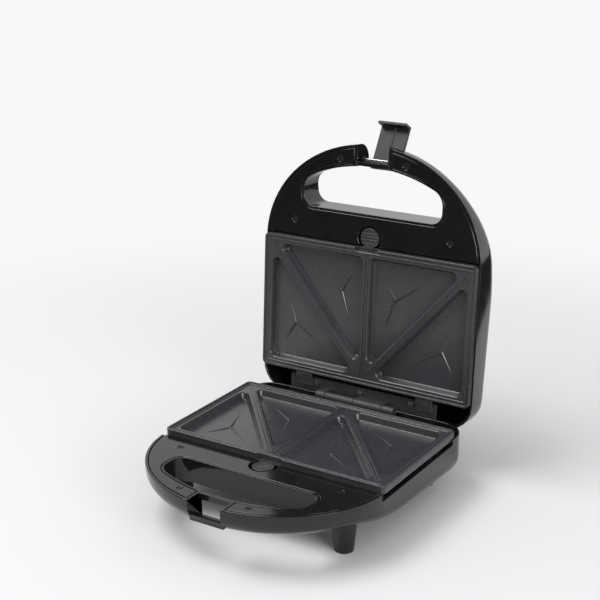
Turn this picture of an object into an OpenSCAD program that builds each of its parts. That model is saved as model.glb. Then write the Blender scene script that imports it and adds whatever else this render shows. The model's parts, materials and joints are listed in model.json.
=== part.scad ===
// Two-slice sandwich toaster with a hinged lid, shown open on its stop.
// Millimetres. +Z is up, the handle points to -Y and the hinge is at +Y.
// Each half is drawn lying down, with its plate's rim plane at z = 0 and the
// body below it. The lid is such a half, mirrored, then turned open.

/* [Cooking plates] */
// Width of each plate, left to right
plate_w = 220; // [205:1:230]
// Depth of each plate, front to hinge
plate_d = 130; // [120:1:140]
// Corner radius of the plates
plate_corner_r = 4.5; // [4:0.5:8]
// Gap between the two plates' rims when closed
plate_gap = 0.8; // [0.4:0.1:2]
// Height of the flange round each plate
flange_h = 7; // [6.4:0.1:8]
// Thickness from the plate's raised ribs to its rim plane
plateau_drop = 1.3; // [0.8:0.1:2]
// Depth of the plate's core below the rim plane
core_depth = 10.5; // [9.8:0.1:12]
// Set-in of the core from the flange
core_inset = 6; // [4:0.5:7]
// Distance from the plate's edge to the pockets
pocket_inset = 8.2; // [7:0.1:10]
// Width of the ribs between the pockets
rib_w = 7; // [5:0.5:9]
// Depth of the pockets below the ribs
pocket_depth = 6.4; // [5:0.1:6.8]
// Run of the pockets' sloping walls
pocket_slope = 2.8; // [1.5:0.1:3.5]
// Corner radius at the top of the pockets
pocket_corner_r = 5.5; // [4.5:0.1:8]
// Width of the bead round the plate's edge
rim_bead_w = 2.2; // [1.5:0.1:3]
// Width of the fine beads
line_bead_w = 1.2; // [0.8:0.1:1.6]
// Height of the fine beads
line_bead_h = 0.7; // [0.4:0.1:1]
// Set-in of the fine bead from the plate's edge
line_bead_inset = 4.2; // [3.4:0.1:5.5]
// Spacing of the double bead along the ribs
bead_pitch = 2.8; // [2:0.1:3.4]
// Height of the three-armed marks
mark_h = 0.7; // [0.4:0.1:1]
// Half width of a mark's arm at its root
mark_half_w = 1.5; // [1:0.1:2]

/* [Body outline] */
// Overall width of the body
body_w = 222.4; // [222.4:0.1:236]
// Reach of the body in front of the plates
handle_reach = 93.3; // [90:0.1:96]
// Length of the curved front
curve_len = 97.9; // [94:0.1:102]
// Reach of the body behind the plates
rear_reach = 24.5; // [24.3:0.1:28]
// Radius of the rear corners
rear_corner_r = 25; // [18:1:30]
// Wall thickness of the shells
wall = 2.4; // [2:0.1:2.6]
// Radius between the side wall and the outer skin
skin_fillet = 16; // [10:0.5:18]

/* [Body depth, from the rim plane] */
// Base depth at the handle
base_handle_depth = 26.5; // [26:0.5:28]
// Base depth under the plate
base_mid_depth = 40; // [40:0.5:42]
// Base depth at the rear wall
base_rear_depth = 44; // [43:0.5:46]
// Where the base starts to deepen, in front of the plate
base_blend_start = 35; // [30:1:45]
// Lid depth at the handle
lid_handle_depth = 27; // [26.5:0.5:29]
// Lid depth over the plate
lid_mid_depth = 45; // [44:0.5:47]
// Lid depth at the rear wall
lid_rear_depth = 38; // [37:0.5:42]
// Where the lid starts to deepen, in front of the plate
lid_blend_start = 75; // [65:1:80]
// How far behind the plate's front edge both reach their full depth
blend_end = 35; // [25:1:45]
// Height of the lower plate's rim plane above the table
plate_height = 57; // [54:0.5:62]

/* [Handle] */
// Half width of the hand opening
opening_half_w = 71; // [66:0.5:73]
// Set-back of the opening's front from the body's front
opening_front = 19.8; // [18:0.1:21]
// Distance from the plate's front edge to the opening
opening_rear = 30.5; // [29:0.5:32]
// Radius of the opening's front curve
opening_crown_r = 150; // [130:5:180]
// Radius of the opening's front corners
opening_front_r = 15; // [12:0.5:18]
// Radius of the opening's rear corners
opening_rear_r = 10; // [6:0.5:12]
// Wall round the hand opening
opening_wall = 2; // [1.6:0.1:2.2]
// Half width of the notch for the latch
notch_half_w = 16; // [15.5:0.1:17]
// Depth front to back of the bar behind the notch
notch_bar_d = 3.5; // [2.5:0.1:3.6]
// Height of the bar behind the notch
notch_bar_h = 5; // [4:0.1:5.4]

/* [Panels] */
// Depth of the panels below the rim plane
panel_drop = 5; // [4.6:0.1:5.4]
// Panel thickness
panel_t = 2; // [1.8:0.1:2.2]
// Width of the shell's rim round the panel
rim_w = 2.5; // [2.4:0.1:3]
// Groove between a panel and what is round it
groove = 0.6; // [0.3:0.1:0.9]
// Depth of the low rim beside the lower plate
side_rim_drop = 11.2; // [10:0.1:11.6]
// Depth of the rim behind the lower plate
rear_rim_drop = 6.5; // [6.2:0.1:7.5]
// Panel screws at the front, from the centre line
screw_front_x = 33.6; // [32:0.1:36]
// Panel screws at the front, from the body's front
screw_front_y = 15.5; // [15:0.1:16.5]
// Panel screws at the rear, from the centre line
screw_rear_x = 80.3; // [78:0.1:82]
// Panel screws at the rear, in front of the plate
screw_rear_y = 15.8; // [14:0.1:18]
// Radius of the panel screws' recesses
recess_r = 2.75; // [2.6:0.05:3]

/* [Hinge and latch] */
// How far the lid opens
open_angle = 93.7; // [88:0.1:95]
// Hinge axis behind the plates
hinge_y = 16.4; // [16.2:0.1:16.8]
// Hinge axis below the lower plate's rim plane
hinge_drop = 5.3; // [5.1:0.1:5.5]
// Radius of the hinge barrel
barrel_r = 4.5; // [4:0.1:4.6]
// Radius of the hinge pin
hinge_pin_r = 2; // [1.5:0.1:2.4]
// Radial running clearance of pins in their holes
pin_clear = 0.05; // [0.02:0.01:0.09]
// Gap between neighbouring knuckles
knuckle_gap = 0.4; // [0.3:0.1:0.6]
// How far the latch flips from closed to its rest
latch_angle = 116.4; // [110:0.1:120]
// Latch pivot behind the body's front
latch_pivot_y = 14.7; // [14.4:0.1:15]
// Latch pivot above the lid's rim plane
latch_pivot_z = 13.2; // [13:0.1:13.6]
// Radius of the latch's ears
ear_r = 2.7; // [2.4:0.1:2.8]
// Radius of the latch pin
latch_pin_r = 1.2; // [1:0.05:1.4]
// Half width of the latch
latch_half_w = 14.5; // [13.5:0.1:14.8]
// Thickness of the latch's front plate
latch_t = 2.5; // [2:0.1:3]
// Gap between the body's front and the latch
latch_gap = 2.5; // [2.2:0.1:3]
// Reach of the latch's hook
hook_reach = 8.5; // [8.3:0.1:9]
// Thickness of the latch's hook
hook_t = 2.6; // [2.2:0.1:3]
// Depth of the catch bar's underside below the rim plane
catch_drop = 23.5; // [23:0.1:23.8]
// Height of the catch bar
catch_h = 5; // [4:0.1:5.5]
// Depth front to back of the catch bar
catch_d = 5.5; // [5:0.1:6]
// Set-back of the catch bar from the body's front
catch_set = 4.3; // [4:0.1:4.6]

/* [Release buttons] */
// Travel of each button toward the handle
button_travel = 2.2; // [1.8:0.1:2.3]
// Radius of the button's round end
button_r = 9.5; // [8.5:0.1:10]
// Radius of the recess round the button
button_recess_r = 12; // [11.8:0.1:12.4]
// Centre of the button in front of the plate
button_y = 8.3; // [8:0.1:8.6]
// Reach of the button's bolt over the plate's ledge
bolt_reach = 1.8; // [1.2:0.1:1.9]
// Half width of the bolt
bolt_half_w = 5; // [4:0.5:9.5]
// Half width of the notch in the plate's front edge
plate_notch_half_w = 12; // [11:0.1:12.5]
// Depth of the notch in the plate's front edge
plate_notch_d = 3.5; // [3:0.1:4]

/* [Heating] */
// Radius of the heating element's tube
heater_r = 3.2; // [3:0.1:3.4]
// Bend radius of the heating element
heater_bend_r = 15; // [12:1:18]
// Half width of the heating element's loop
heater_half_w = 75; // [65:1:78]
// Set-in of the loop from the plate's front and rear edges
heater_inset = 27; // [22:1:30]
// Sheet thickness of the reflector tray
tray_t = 0.8; // [0.6:0.1:1]
// Depth of the tray's upper edge
tray_rim_drop = 12.8; // [12.4:0.1:13.4]
// Depth of the tray's underside
tray_drop = 21; // [20.6:0.1:22]

/* [Feet] */
// Radius of the front feet at the top
foot_top_r = 12; // [10:0.5:13]
// Radius of the feet at the bottom
foot_bottom_r = 8.3; // [7:0.1:9]
// Front feet from the centre line
foot_x = 81.9; // [76:0.1:84]
// Front feet in front of the plate
front_foot_y = 13.7; // [10:0.1:16]
// Rear feet in front of the plate's rear edge
rear_foot_y = 3; // [1:0.5:8]
// Thickness of the rubber pads
pad_t = 2; // [1.5:0.1:3]

/* [Hidden] */

black = [0.07, 0.07, 0.08];
satin = [0.12, 0.12, 0.13];
charcoal = [0.24, 0.24, 0.25];
grey = [0.33, 0.33, 0.34];
steel = [0.68, 0.68, 0.70];
rubber = [0.16, 0.16, 0.16];

lap = 0.5;
bar_clear = 0.05;
round_fn = 64;
fine_fn = 40;
boss_fn = 20;
far = 400;
seat_gap = 0.3;

half_w = body_w / 2;
front_y = -(plate_d + handle_reach);
curve_y = front_y + curve_len;
corner_y = rear_reach - rear_corner_r;
floor_z = -plate_height;
open_front_y = front_y + opening_front;
open_rear_y = -(plate_d + opening_rear);
panel_under = panel_drop + panel_t;
panel_rear_y = -(plate_d + 1.6);
hinge_z = -hinge_drop;
pivot_y = front_y + latch_pivot_y;
pivot_z = plate_gap + latch_pivot_z;

// A half's depth profile: at the handle, under the plate, at the rear wall,
// and where the skin starts to deepen
base_profile = [base_handle_depth, base_mid_depth, base_rear_depth,
                -(plate_d + base_blend_start)];
lid_profile = [lid_handle_depth, lid_mid_depth, lid_rear_depth,
               -(plate_d + lid_blend_start)];

function smooth(t) = t <= 0 ? 0 : t >= 1 ? 1 : t * t * (3 - 2 * t);
function depth_at(p, y) =
    let (end = -plate_d + blend_end,
         rise = smooth((y - p[3]) / (end - p[3])),
         slope = max(0, (y - end) / (rear_reach - end)))
    p[0] + (p[1] - p[0]) * rise + (p[2] - p[1]) * slope;

// Right-hand half of the body's outline, from the front to the rear, set in by d
front_steps = 24;
side_steps = 9;
corner_steps = 6;
function right_side(d) = concat(
    [for (i = [0 : front_steps])
        let (a = 90 * i / front_steps)
        [(half_w - d) * sin(a), curve_y - (curve_len - d) * cos(a)]],
    [for (i = [1 : side_steps])
        [half_w - d, curve_y + (corner_y - curve_y) * i / side_steps]],
    [for (i = [1 : corner_steps])
        let (a = 90 * i / corner_steps)
        [half_w - rear_corner_r + (rear_corner_r - d) * cos(a),
         corner_y + (rear_corner_r - d) * sin(a)]],
    [[0, rear_reach - d]]);
function whole_outline(d) =
    let (r = right_side(d), n = len(r))
    concat(r, [for (i = [n - 2 : -1 : 1]) [-r[i][0], r[i][1]]]);

// Points of one ring of the skin, turned in by the angle a of the fillet
function skin_ring(p, d, a) =
    let (r = skin_fillet - d,
         path = whole_outline(d + r * (1 - cos(a))))
    [for (q = path) [q[0], q[1], skin_fillet - depth_at(p, q[1]) - r * sin(a)]];

// Closed body below the height top, set in by d from the outer skin
fillet_steps = 6;
module body_solid(p, d, top) {
    rim = [for (q = whole_outline(d)) [q[0], q[1], top]];
    n = len(rim);
    half_n = n / 2;
    rings = fillet_steps + 1;
    points = concat(rim, [for (k = [0 : fillet_steps])
        for (q = skin_ring(p, d, 90 * k / fillet_steps)) q]);
    walls = [for (k = [0 : rings - 1]) for (i = [0 : n - 1])
        let (j = (i + 1) % n, a = k * n, b = (k + 1) * n)
        for (t = [[a + i, a + j, b + j], [a + i, b + j, b + i]]) t];
    last = rings * n;
    floors = concat(
        [[last, last + 1, last + n - 1]],
        [for (i = [1 : half_n - 2]) for (t = [
            [last + i, last + i + 1, last + n - i - 1],
            [last + i, last + n - i - 1, last + n - i]]) t],
        [[last + half_n - 1, last + half_n, last + half_n + 1]]);
    cap = [[for (i = [n - 1 : -1 : 0]) i]];
    polyhedron(points, concat(cap, walls, floors), convexity = 6);
}

// Points on an arc
function arc(x, y, r, a0, a1, n) =
    [for (i = [0 : n]) let (a = a0 + (a1 - a0) * i / n) [x + r * cos(a), y + r * sin(a)]];

// Hand opening, grown by d: a shallow crown in front, rounded corners, straight rear
module opening_outline(d) {
    crown_y = open_front_y + opening_crown_r;
    side_x = opening_half_w - opening_front_r;
    reach = opening_crown_r - opening_front_r;
    side_y = crown_y - sqrt(reach * reach - side_x * side_x);
    lean = atan2(crown_y - side_y, side_x);
    back_x = opening_half_w - opening_rear_r;
    back_y = open_rear_y - opening_rear_r;
    polygon(concat(
        arc(back_x, back_y, opening_rear_r + d, 90, 0, 8),
        arc(side_x, side_y, opening_front_r + d, 0, -lean, 9),
        arc(0, crown_y, opening_crown_r + d, -lean, lean - 180, 24),
        arc(-side_x, side_y, opening_front_r + d, lean - 180, -180, 9),
        arc(-back_x, back_y, opening_rear_r + d, 180, 90, 8)));
}

module rounded(w, d, r) {
    square([w - 2 * r, d], center = true);
    square([w, d - 2 * r], center = true);
    for (x = [-1, 1]) for (y = [-1, 1])
        translate([x * (w / 2 - r), y * (d / 2 - r)]) circle(r, $fn = fine_fn);
}

module ring_of(w, d, r, t) {
    difference() {
        rounded(w, d, r);
        rounded(w - 2 * t, d - 2 * t, r - t);
    }
}

// A box given by its lowest and highest corners
module block(low, high) {
    translate(low) cube(high - low);
}

module at_both(x) {
    for (s = [-1, 1]) translate([s * x, 0, 0]) children();
}

// ---------- frames ----------

function turned_y(y, z) =
    hinge_y + (y - hinge_y) * cos(open_angle) + (z - hinge_z) * sin(open_angle);
function flipped(y, z) =
    let (c = cos(latch_angle), s = sin(latch_angle), u = y - pivot_y, v = z - pivot_z)
    [pivot_y + u * c + v * s, pivot_z - u * s + v * c];
latch_face_y = front_y - latch_gap;
hook_top = -(catch_drop + 0.2);
hook_low = hook_top - hook_t;
hook_corner = flipped(latch_face_y - latch_t, hook_low);
rear_extent = turned_y(hook_corner[0], hook_corner[1]);
notch_front_y = curve_y - curve_len * sqrt(1 - pow(notch_half_w / half_w, 2));
origin_y = (notch_front_y + rear_extent) / 2;

// Stands a base piece on the table, centred
module placed() {
    translate([0, -origin_y, plate_height]) children();
}

// Turns a closed lid piece open about the hinge
module opened() {
    placed() translate([0, hinge_y, hinge_z]) rotate([-open_angle, 0, 0])
        translate([0, -hinge_y, -hinge_z]) children();
}

// Mirrors a half's piece up into the lid
module in_lid() {
    opened() translate([0, 0, plate_gap]) mirror([0, 0, 1]) children();
}

// Flips the latch to its rest about its pin
module latch_rest() {
    opened() translate([0, pivot_y, pivot_z]) rotate([-latch_angle, 0, 0])
        translate([0, -pivot_y, -pivot_z]) children();
}

// ---------- screws ----------

module screw(r, head_r, head_h, length) {
    difference() {
        union() {
            cylinder(h = head_h, r = head_r, $fn = fine_fn);
            translate([0, 0, -length]) cylinder(h = length + 0.1, r = r, $fn = fine_fn);
        }
        for (a = [0, 90]) rotate(a) translate([0, 0, head_h])
            cube([head_r * 1.3, head_r * 0.28, head_h], center = true);
    }
}

panel_screw_spots = [
    [-screw_front_x, front_y + screw_front_y], [screw_front_x, front_y + screw_front_y],
    [-screw_rear_x, -plate_d - screw_rear_y], [screw_rear_x, -plate_d - screw_rear_y]];
panel_screw_r = 1.4;
panel_head_r = 2.6;
panel_head_h = 0.9;
panel_screw_len = 9;
recess_depth = 1.3;
boss_r = 4;
tray_screw_inset = 15.2;
tray_screw_set = 20;
tray_spots = [for (x = [-1, 1]) for (y = [-tray_screw_set, tray_screw_set - plate_d])
    [x * (half_w - tray_screw_inset), y]];
tray_screw_r = 1.5;
tray_head_r = 3;
tray_head_h = 1.6;
tray_screw_len = 7;
hole_clear = 0.05;

module panel_screws() {
    for (p = panel_screw_spots)
        translate([p[0], p[1], -panel_drop - recess_depth])
            screw(panel_screw_r, panel_head_r, panel_head_h, panel_screw_len);
}

module tray_screws() {
    for (p = tray_spots) translate([p[0], p[1], tray_t - tray_drop])
        screw(tray_screw_r, tray_head_r, tray_head_h, tray_screw_len + tray_t);
}

// ---------- shells ----------

lug_x = half_w - 47.2;
bracket_t = 2.5;
base_bracket_top = -10.5;
lid_bracket_top = -6;
bracket_screw_x = lug_x - 14;
middle_screw_x = -3.6;
base_bracket_x = [-bracket_screw_x, bracket_screw_x];
lid_bracket_x = [-bracket_screw_x, middle_screw_x, bracket_screw_x];
bracket_screw_y = 8.9;
bracket_screw_r = 1.6;
bracket_head_r = 2.8;
bracket_head_h = 1.4;
bracket_screw_len = 8;
bracket_boss_r = 4.2;

// Posts and walls left standing inside a shell's hollow
module inner_walls(bracket_xs, bracket_under) {
    translate([0, 0, -far / 2]) linear_extrude(far / 2) opening_outline(opening_wall);
    block([-notch_half_w - wall, front_y, -far / 2], [notch_half_w + wall, open_front_y, 0]);
    for (p = panel_screw_spots) translate([p[0], p[1], -far / 2])
        cylinder(h = far / 2 - panel_under, r = boss_r, $fn = boss_fn);
    for (p = tray_spots) translate([p[0], p[1], -far / 2])
        cylinder(h = far / 2 - tray_drop, r = boss_r, $fn = boss_fn);
    for (x = bracket_xs) translate([x, bracket_screw_y, -far / 2])
        cylinder(h = far / 2 + bracket_under, r = bracket_boss_r, $fn = boss_fn);
}

// One half's body with its openings, before its holes are drilled
module half_body(p, bracket_xs, bracket_under) {
    difference() {
        body_solid(p, 0, -panel_drop);
        difference() {
            body_solid(p, wall, 1);
            inner_walls(bracket_xs, bracket_under);
        }
        translate([0, 0, -far / 2]) linear_extrude(far) opening_outline(0);
        block([-notch_half_w, front_y - 1, -far / 2],
              [notch_half_w, open_front_y + notch_bar_d, 0]);
        translate([0, -plate_d / 2, -flange_h - seat_gap]) linear_extrude(far)
            rounded(plate_w + 2 * seat_gap, plate_d + 2 * seat_gap, plate_corner_r + seat_gap);
    }
    block([-notch_half_w - lap, open_front_y - notch_bar_d, -panel_drop - notch_bar_h],
          [notch_half_w + lap, open_front_y, -panel_drop - bar_clear]);
}

// Holes for the screws of a half's panel, tray and bracket
module screw_holes(bracket_xs, bracket_under) {
    for (q = panel_screw_spots) translate([q[0], q[1], -panel_under - panel_screw_len])
        cylinder(h = far, r = panel_screw_r + hole_clear, $fn = fine_fn);
    for (q = tray_spots) translate([q[0], q[1], -tray_drop - tray_screw_len - 0.3])
        cylinder(h = far, r = tray_screw_r + hole_clear, $fn = fine_fn);
    for (x = bracket_xs)
        translate([x, bracket_screw_y, bracket_under - bracket_screw_len - 0.3])
            cylinder(h = far, r = bracket_screw_r + hole_clear, $fn = fine_fn);
}

gland_x = half_w - 41.2;
gland_z = -21.2;
gland_neck_r = 6;
gland_flange_r = 7.4;
gland_flange_t = 2;
cord_bore_r = 3.6;
terminal_pad_top = -38;
terminal_half_w = 17;
terminal_half_d = 7;
terminal_y = 8;
foot_screw_r = 1.6;

foot_spots = [[-foot_x, -plate_d - front_foot_y], [foot_x, -plate_d - front_foot_y],
              [-foot_x, -rear_foot_y], [foot_x, -rear_foot_y]];
foot_screw_top = 8;
foot_seat = 8;

// resize() keeps the width as it is. It makes the walls, cuts and posts one
// mesh, and the round holes are drilled in that.
module base_shell() {
    under = base_bracket_top - bracket_t;
    color(black) placed() difference() {
        resize([body_w, 0, 0]) difference() {
            union() {
                half_body(base_profile, base_bracket_x, under);
                intersection() {
                    body_solid(base_profile, wall / 2, 0);
                    base_pads();
                }
                block([-notch_half_w - lap, front_y + catch_set, -catch_drop],
                      [notch_half_w + lap, front_y + catch_set + catch_d, catch_h - catch_drop]);
            }
            block([-far, -plate_d - 3, -side_rim_drop], [far, -8, 1]);
            block([-far, -8.5, -rear_rim_drop], [far, far, 1]);
        }
        screw_holes(base_bracket_x, under);
        translate([gland_x, 0, gland_z]) rotate([-90, 0, 0])
            cylinder(h = far, r = gland_neck_r + hole_clear, $fn = round_fn);
        for (f = foot_spots) translate([f[0], f[1], -far])
            cylinder(h = far - depth_at(base_profile, f[1]) + foot_screw_top - 1,
                     r = foot_screw_r + hole_clear, $fn = fine_fn);
    }
}

// What stands on the base's floor: the terminals' pad and the foot screws' bosses
module base_pads() {
    block([-terminal_half_w, terminal_y - terminal_half_d, -far],
          [terminal_half_w, terminal_y + terminal_half_d, terminal_pad_top]);
    for (f = foot_spots) translate([f[0], f[1], -far])
        cylinder(h = far - depth_at(base_profile, f[1]) + foot_screw_top,
                 r = boss_r, $fn = boss_fn);
}

lens_x = 8;
lens_y = -plate_d - 20;
lens_r = 3.5;
lamp_post_x = 16;
lamp_post_r = 2.5;
lamp_r = 2.5;
lamp_h = 8;
board_half_d = 5;
lamp_board_under = -22;

module lid_shell() {
    under = lid_bracket_top - bracket_t;
    color(black) in_lid() difference() {
        resize([body_w, 0, 0]) union() {
            half_body(lid_profile, lid_bracket_x, under);
            intersection() {
                body_solid(lid_profile, wall / 2, 0);
                at_both(lamp_post_x) translate([0, lens_y, -far])
                    cylinder(h = far + lamp_board_under, r = lamp_post_r, $fn = boss_fn);
            }
        }
        screw_holes(lid_bracket_x, under);
        translate([0, pivot_y, -latch_pivot_z]) rotate([0, 90, 0])
            cylinder(h = 2 * (notch_half_w + wall) + 1, r = latch_pin_r + pin_clear,
                     center = true, $fn = fine_fn);
        at_both(lens_x) translate([0, lens_y, -far / 2])
            cylinder(h = far / 2 - 30, r = lens_r + hole_clear, $fn = fine_fn);
    }
}

// ---------- panels and release buttons ----------

button_low = -9.4;
button_top = -5.4;
pan_t = 1.2;
pan_wall = 1.2;
notch_margin = 3;
pan_top = button_low - seat_gap;
pan_low = pan_top - pan_t;
stem_half_w = 2;
stem_front = -(plate_d + 12);
stem_rear = -(plate_d + 7);
shoe_half_w = 4.5;
shoe_front = stem_front - 2;
shoe_low = pan_low - 3.6;
spring_front = -(plate_d + 20.8);
spring_r = 1.5;
spring_z = shoe_low + spring_r + 0.1;
ledge_top = 0.9 - flange_h;
bolt_low = ledge_top + 0.05;
bolt_t = 0.9;
bolt_top = bolt_low + bolt_t;
button_flat = -(plate_d + 1.6);

// Round end toward the handle, cut flat beside the plate
module d_shape(r, flat) {
    intersection() {
        translate([0, -plate_d - button_y]) circle(r, $fn = round_fn);
        translate([-far / 2, flat - far]) square([far, far]);
    }
}

module panel() {
    difference() {
        union() {
            translate([0, 0, -panel_under]) linear_extrude(panel_t) difference() {
                polygon(whole_outline(rim_w + groove));
                translate([-far / 2, panel_rear_y]) square([far, far]);
                opening_outline(opening_wall + groove);
                translate([-notch_half_w - notch_margin, front_y - 1])
                    square([2 * (notch_half_w + notch_margin), open_front_y - front_y]);
            }
            translate([0, 0, pan_low]) linear_extrude(-panel_drop - panel_t / 2 - pan_low)
                d_shape(button_recess_r + pan_wall, panel_rear_y);
            block([-shoe_half_w, spring_front - pan_wall, shoe_low], [shoe_half_w, spring_front, pan_low + lap]);
        }
        translate([0, 0, pan_top]) linear_extrude(far) d_shape(button_recess_r, far / 4);
        block([-stem_half_w - seat_gap, stem_front - button_travel - seat_gap, pan_low - 1],
              [stem_half_w + seat_gap, stem_rear + seat_gap, 0]);
        for (p = panel_screw_spots) {
            translate([p[0], p[1], -panel_drop - recess_depth])
                cylinder(h = 5, r = recess_r, $fn = fine_fn);
            translate([p[0], p[1], -far / 2])
                cylinder(h = far, r = panel_screw_r + hole_clear, $fn = fine_fn);
        }
    }
}

grip_start = 4;
grip_pitch = 3;
grip_w = 1.2;
grip_d = 0.8;
module release_button() {
    difference() {
        translate([0, 0, button_low]) linear_extrude(button_top - button_low)
            d_shape(button_r, button_flat);
        for (i = [0 : 3])
            block([-far, button_flat - grip_start - i * grip_pitch, button_top - grip_d],
                  [far, button_flat - grip_start - i * grip_pitch + grip_w, 0]);
    }
    block([-bolt_half_w, button_flat - 2, button_top - 1], [bolt_half_w, button_flat, bolt_top]);
    block([-bolt_half_w, button_flat - 0.1, bolt_low], [bolt_half_w, -plate_d + bolt_reach, bolt_top]);
    block([-stem_half_w, stem_front, pan_low - seat_gap - 0.1], [stem_half_w, stem_rear, button_low + 0.1]);
    block([-shoe_half_w, shoe_front, shoe_low], [shoe_half_w, stem_rear, pan_low - seat_gap]);
}

module button_spring() {
    gap = 0.05;
    translate([0, spring_front + gap, spring_z]) rotate([-90, 0, 0]) difference() {
        cylinder(h = shoe_front - spring_front - 2 * gap, r = spring_r, $fn = fine_fn);
        translate([0, 0, -1]) cylinder(h = 50, r = spring_r - 0.5, $fn = fine_fn);
    }
}

// ---------- cooking plates ----------

square_w = plate_w / 2 - pocket_inset - rib_w / 2;
square_d = plate_d - 2 * pocket_inset;

// Corner of a pocket square: side -1 left, 1 right; along the rib or the edge; front or rear
function corner_at(side, outer, rear) = [
    side * (outer ? plate_w / 2 - pocket_inset : rib_w / 2),
    rear ? -pocket_inset : -plate_d + pocket_inset];

// A triangular pocket by its right-angled corner and the way its legs run
module pocket(corner, sx, sy) {
    diagonal = sqrt(square_w * square_w + square_d * square_d);
    leg_x = square_w - rib_w / 2 * diagonal / square_d;
    leg_y = square_d - rib_w / 2 * diagonal / square_w;
    in_r = (leg_x + leg_y - sqrt(leg_x * leg_x + leg_y * leg_y)) / 2;
    shrink = (in_r - pocket_corner_r) / in_r;
    middle = [in_r, in_r];
    translate([corner[0], corner[1], -plateau_drop - pocket_depth]) hull()
        for (v = [[0, 0], [leg_x, 0], [0, leg_y]]) {
            spot = middle + (v - middle) * shrink;
            translate([sx * spot[0], sy * spot[1], 0])
                cylinder(h = pocket_depth + 0.01, r1 = pocket_corner_r - pocket_slope,
                         r2 = pocket_corner_r, $fn = 32);
        }
}

// One tapering arm of a mark
module arm(v) {
    across = [-v[1], v[0]] / norm(v) * mark_half_w;
    polygon([across, v, -across]);
}

// Three-armed mark in a pocket, at the given distance from the pocket's corner
module mark(corner, sx, sy, at) {
    translate([corner[0] + sx * at[0], corner[1] + sy * at[1], -plateau_drop - pocket_depth - 0.2])
        linear_extrude(mark_h + 0.2) {
            arm([-11.5 * sx, -19 * sy]);
            arm([-8.5 * sx, 25.5 * sy]);
            arm([28.5 * sx, -18 * sy]);
            circle(mark_half_w * 0.9, $fn = 24);
        }
}

base_mark_at = [30.5, 36.5];
lid_mark_at = [24.5, 37];
lug_half_w = 7;
lug_root = 2;
lug_reach = 4.6;
lug_top = -4.6;
lug_low = -6.6;

// Right-angled corners of the four pockets: [side, outer, rear]
base_pockets = [[-1, true, false], [-1, false, true], [1, false, false], [1, true, true]];
lid_pockets = [[-1, true, true], [-1, false, false], [1, false, false], [1, true, true]];

// A straight double bead on a rib, from a to b
module double_bead(a, b) {
    v = b - a;
    translate([a[0], a[1], -plateau_drop - 0.2]) rotate(atan2(v[1], v[0]))
        for (s = [-1, 1]) translate([0, s * bead_pitch / 2 - line_bead_w / 2, 0])
            cube([norm(v), line_bead_w, line_bead_h + 0.2]);
}

module plate(pockets, mark_at) {
    reach = 3;
    difference() {
        union() {
            translate([0, -plate_d / 2, -flange_h]) linear_extrude(flange_h - plateau_drop)
                rounded(plate_w, plate_d, plate_corner_r);
            translate([0, -plate_d / 2, -core_depth]) linear_extrude(core_depth - flange_h + 1)
                rounded(plate_w - 2 * core_inset, plate_d - 2 * core_inset, plate_corner_r);
            translate([0, -plate_d / 2, -plateau_drop - 0.2]) {
                linear_extrude(plateau_drop + 0.2)
                    ring_of(plate_w, plate_d, plate_corner_r, rim_bead_w);
                linear_extrude(line_bead_h + 0.2)
                    ring_of(plate_w - 2 * line_bead_inset, plate_d - 2 * line_bead_inset,
                            plate_corner_r - 1, line_bead_w);
            }
            double_bead([0, -pocket_inset], [0, -plate_d + pocket_inset]);
            for (q = pockets) if (q[1]) {
                from = corner_at(q[0], true, !q[2]);
                to = corner_at(q[0], false, q[2]);
                way = (to - from) / norm(to - from);
                double_bead(from + way * reach, to - way * reach);
            }
            at_both(lug_x)
                block([-lug_half_w, -lug_root, lug_low], [lug_half_w, lug_reach, lug_top]);
        }
        for (q = pockets)
            pocket(corner_at(q[0], q[1], q[2]), q[1] ? -q[0] : q[0], q[2] ? -1 : 1);
        block([-plate_notch_half_w, -plate_d - 1, ledge_top],
              [plate_notch_half_w, -plate_d + plate_notch_d, 1]);
    }
    for (q = pockets)
        mark(corner_at(q[0], q[1], q[2]), q[1] ? -q[0] : q[0], q[2] ? -1 : 1, mark_at);
}

// ---------- heating ----------

heater_z = -core_depth - heater_r - 0.05;
tray_half_w = half_w - wall - 1.2;
tray_front = -plate_d + 0.6;
tray_rear = -2;
tray_mid = (tray_front + tray_rear) / 2;
tray_len = tray_rear - tray_front;
post_r = 4;
post_inset = 19.6;
post_set = 11;
post_spots = [for (x = [-1, 1]) for (y = [-post_set, post_set - plate_d])
    [x * (tray_half_w - post_inset), y]];
pin_x = 12;
cold_pin_r = 1.5;
cold_pin_low = -26;
rear_run_y = -heater_inset;
front_run_y = -plate_d + heater_inset;

module reflector() {
    difference() {
        union() {
            translate([0, tray_mid, -tray_drop]) linear_extrude(tray_t)
                rounded(2 * tray_half_w, tray_len, plate_corner_r);
            translate([0, tray_mid, -tray_drop]) linear_extrude(tray_drop - tray_rim_drop)
                ring_of(2 * tray_half_w, tray_len, plate_corner_r, tray_t);
            for (p = post_spots) translate([p[0], p[1], -tray_drop])
                cylinder(h = tray_drop - core_depth, r = post_r, $fn = fine_fn);
        }
        for (p = tray_spots) translate([p[0], p[1], -tray_drop - 1])
            cylinder(h = 3, r = tray_screw_r + hole_clear, $fn = fine_fn);
        at_both(pin_x) translate([0, rear_run_y, -tray_drop - 1])
            cylinder(h = 3, r = cold_pin_r + 0.6, $fn = fine_fn);
    }
}

module rod_x(x0, x1, y) {
    translate([x0, y, heater_z]) rotate([0, 90, 0])
        cylinder(h = x1 - x0, r = heater_r, $fn = fine_fn);
}

module rod_y(x, y0, y1) {
    translate([x, y0, heater_z]) rotate([-90, 0, 0])
        cylinder(h = y1 - y0, r = heater_r, $fn = fine_fn);
}

module bend(x, y, a) {
    translate([x, y, heater_z]) rotate(a) rotate_extrude(angle = 90, $fn = round_fn)
        translate([heater_bend_r, 0]) circle(heater_r, $fn = fine_fn);
}

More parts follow.
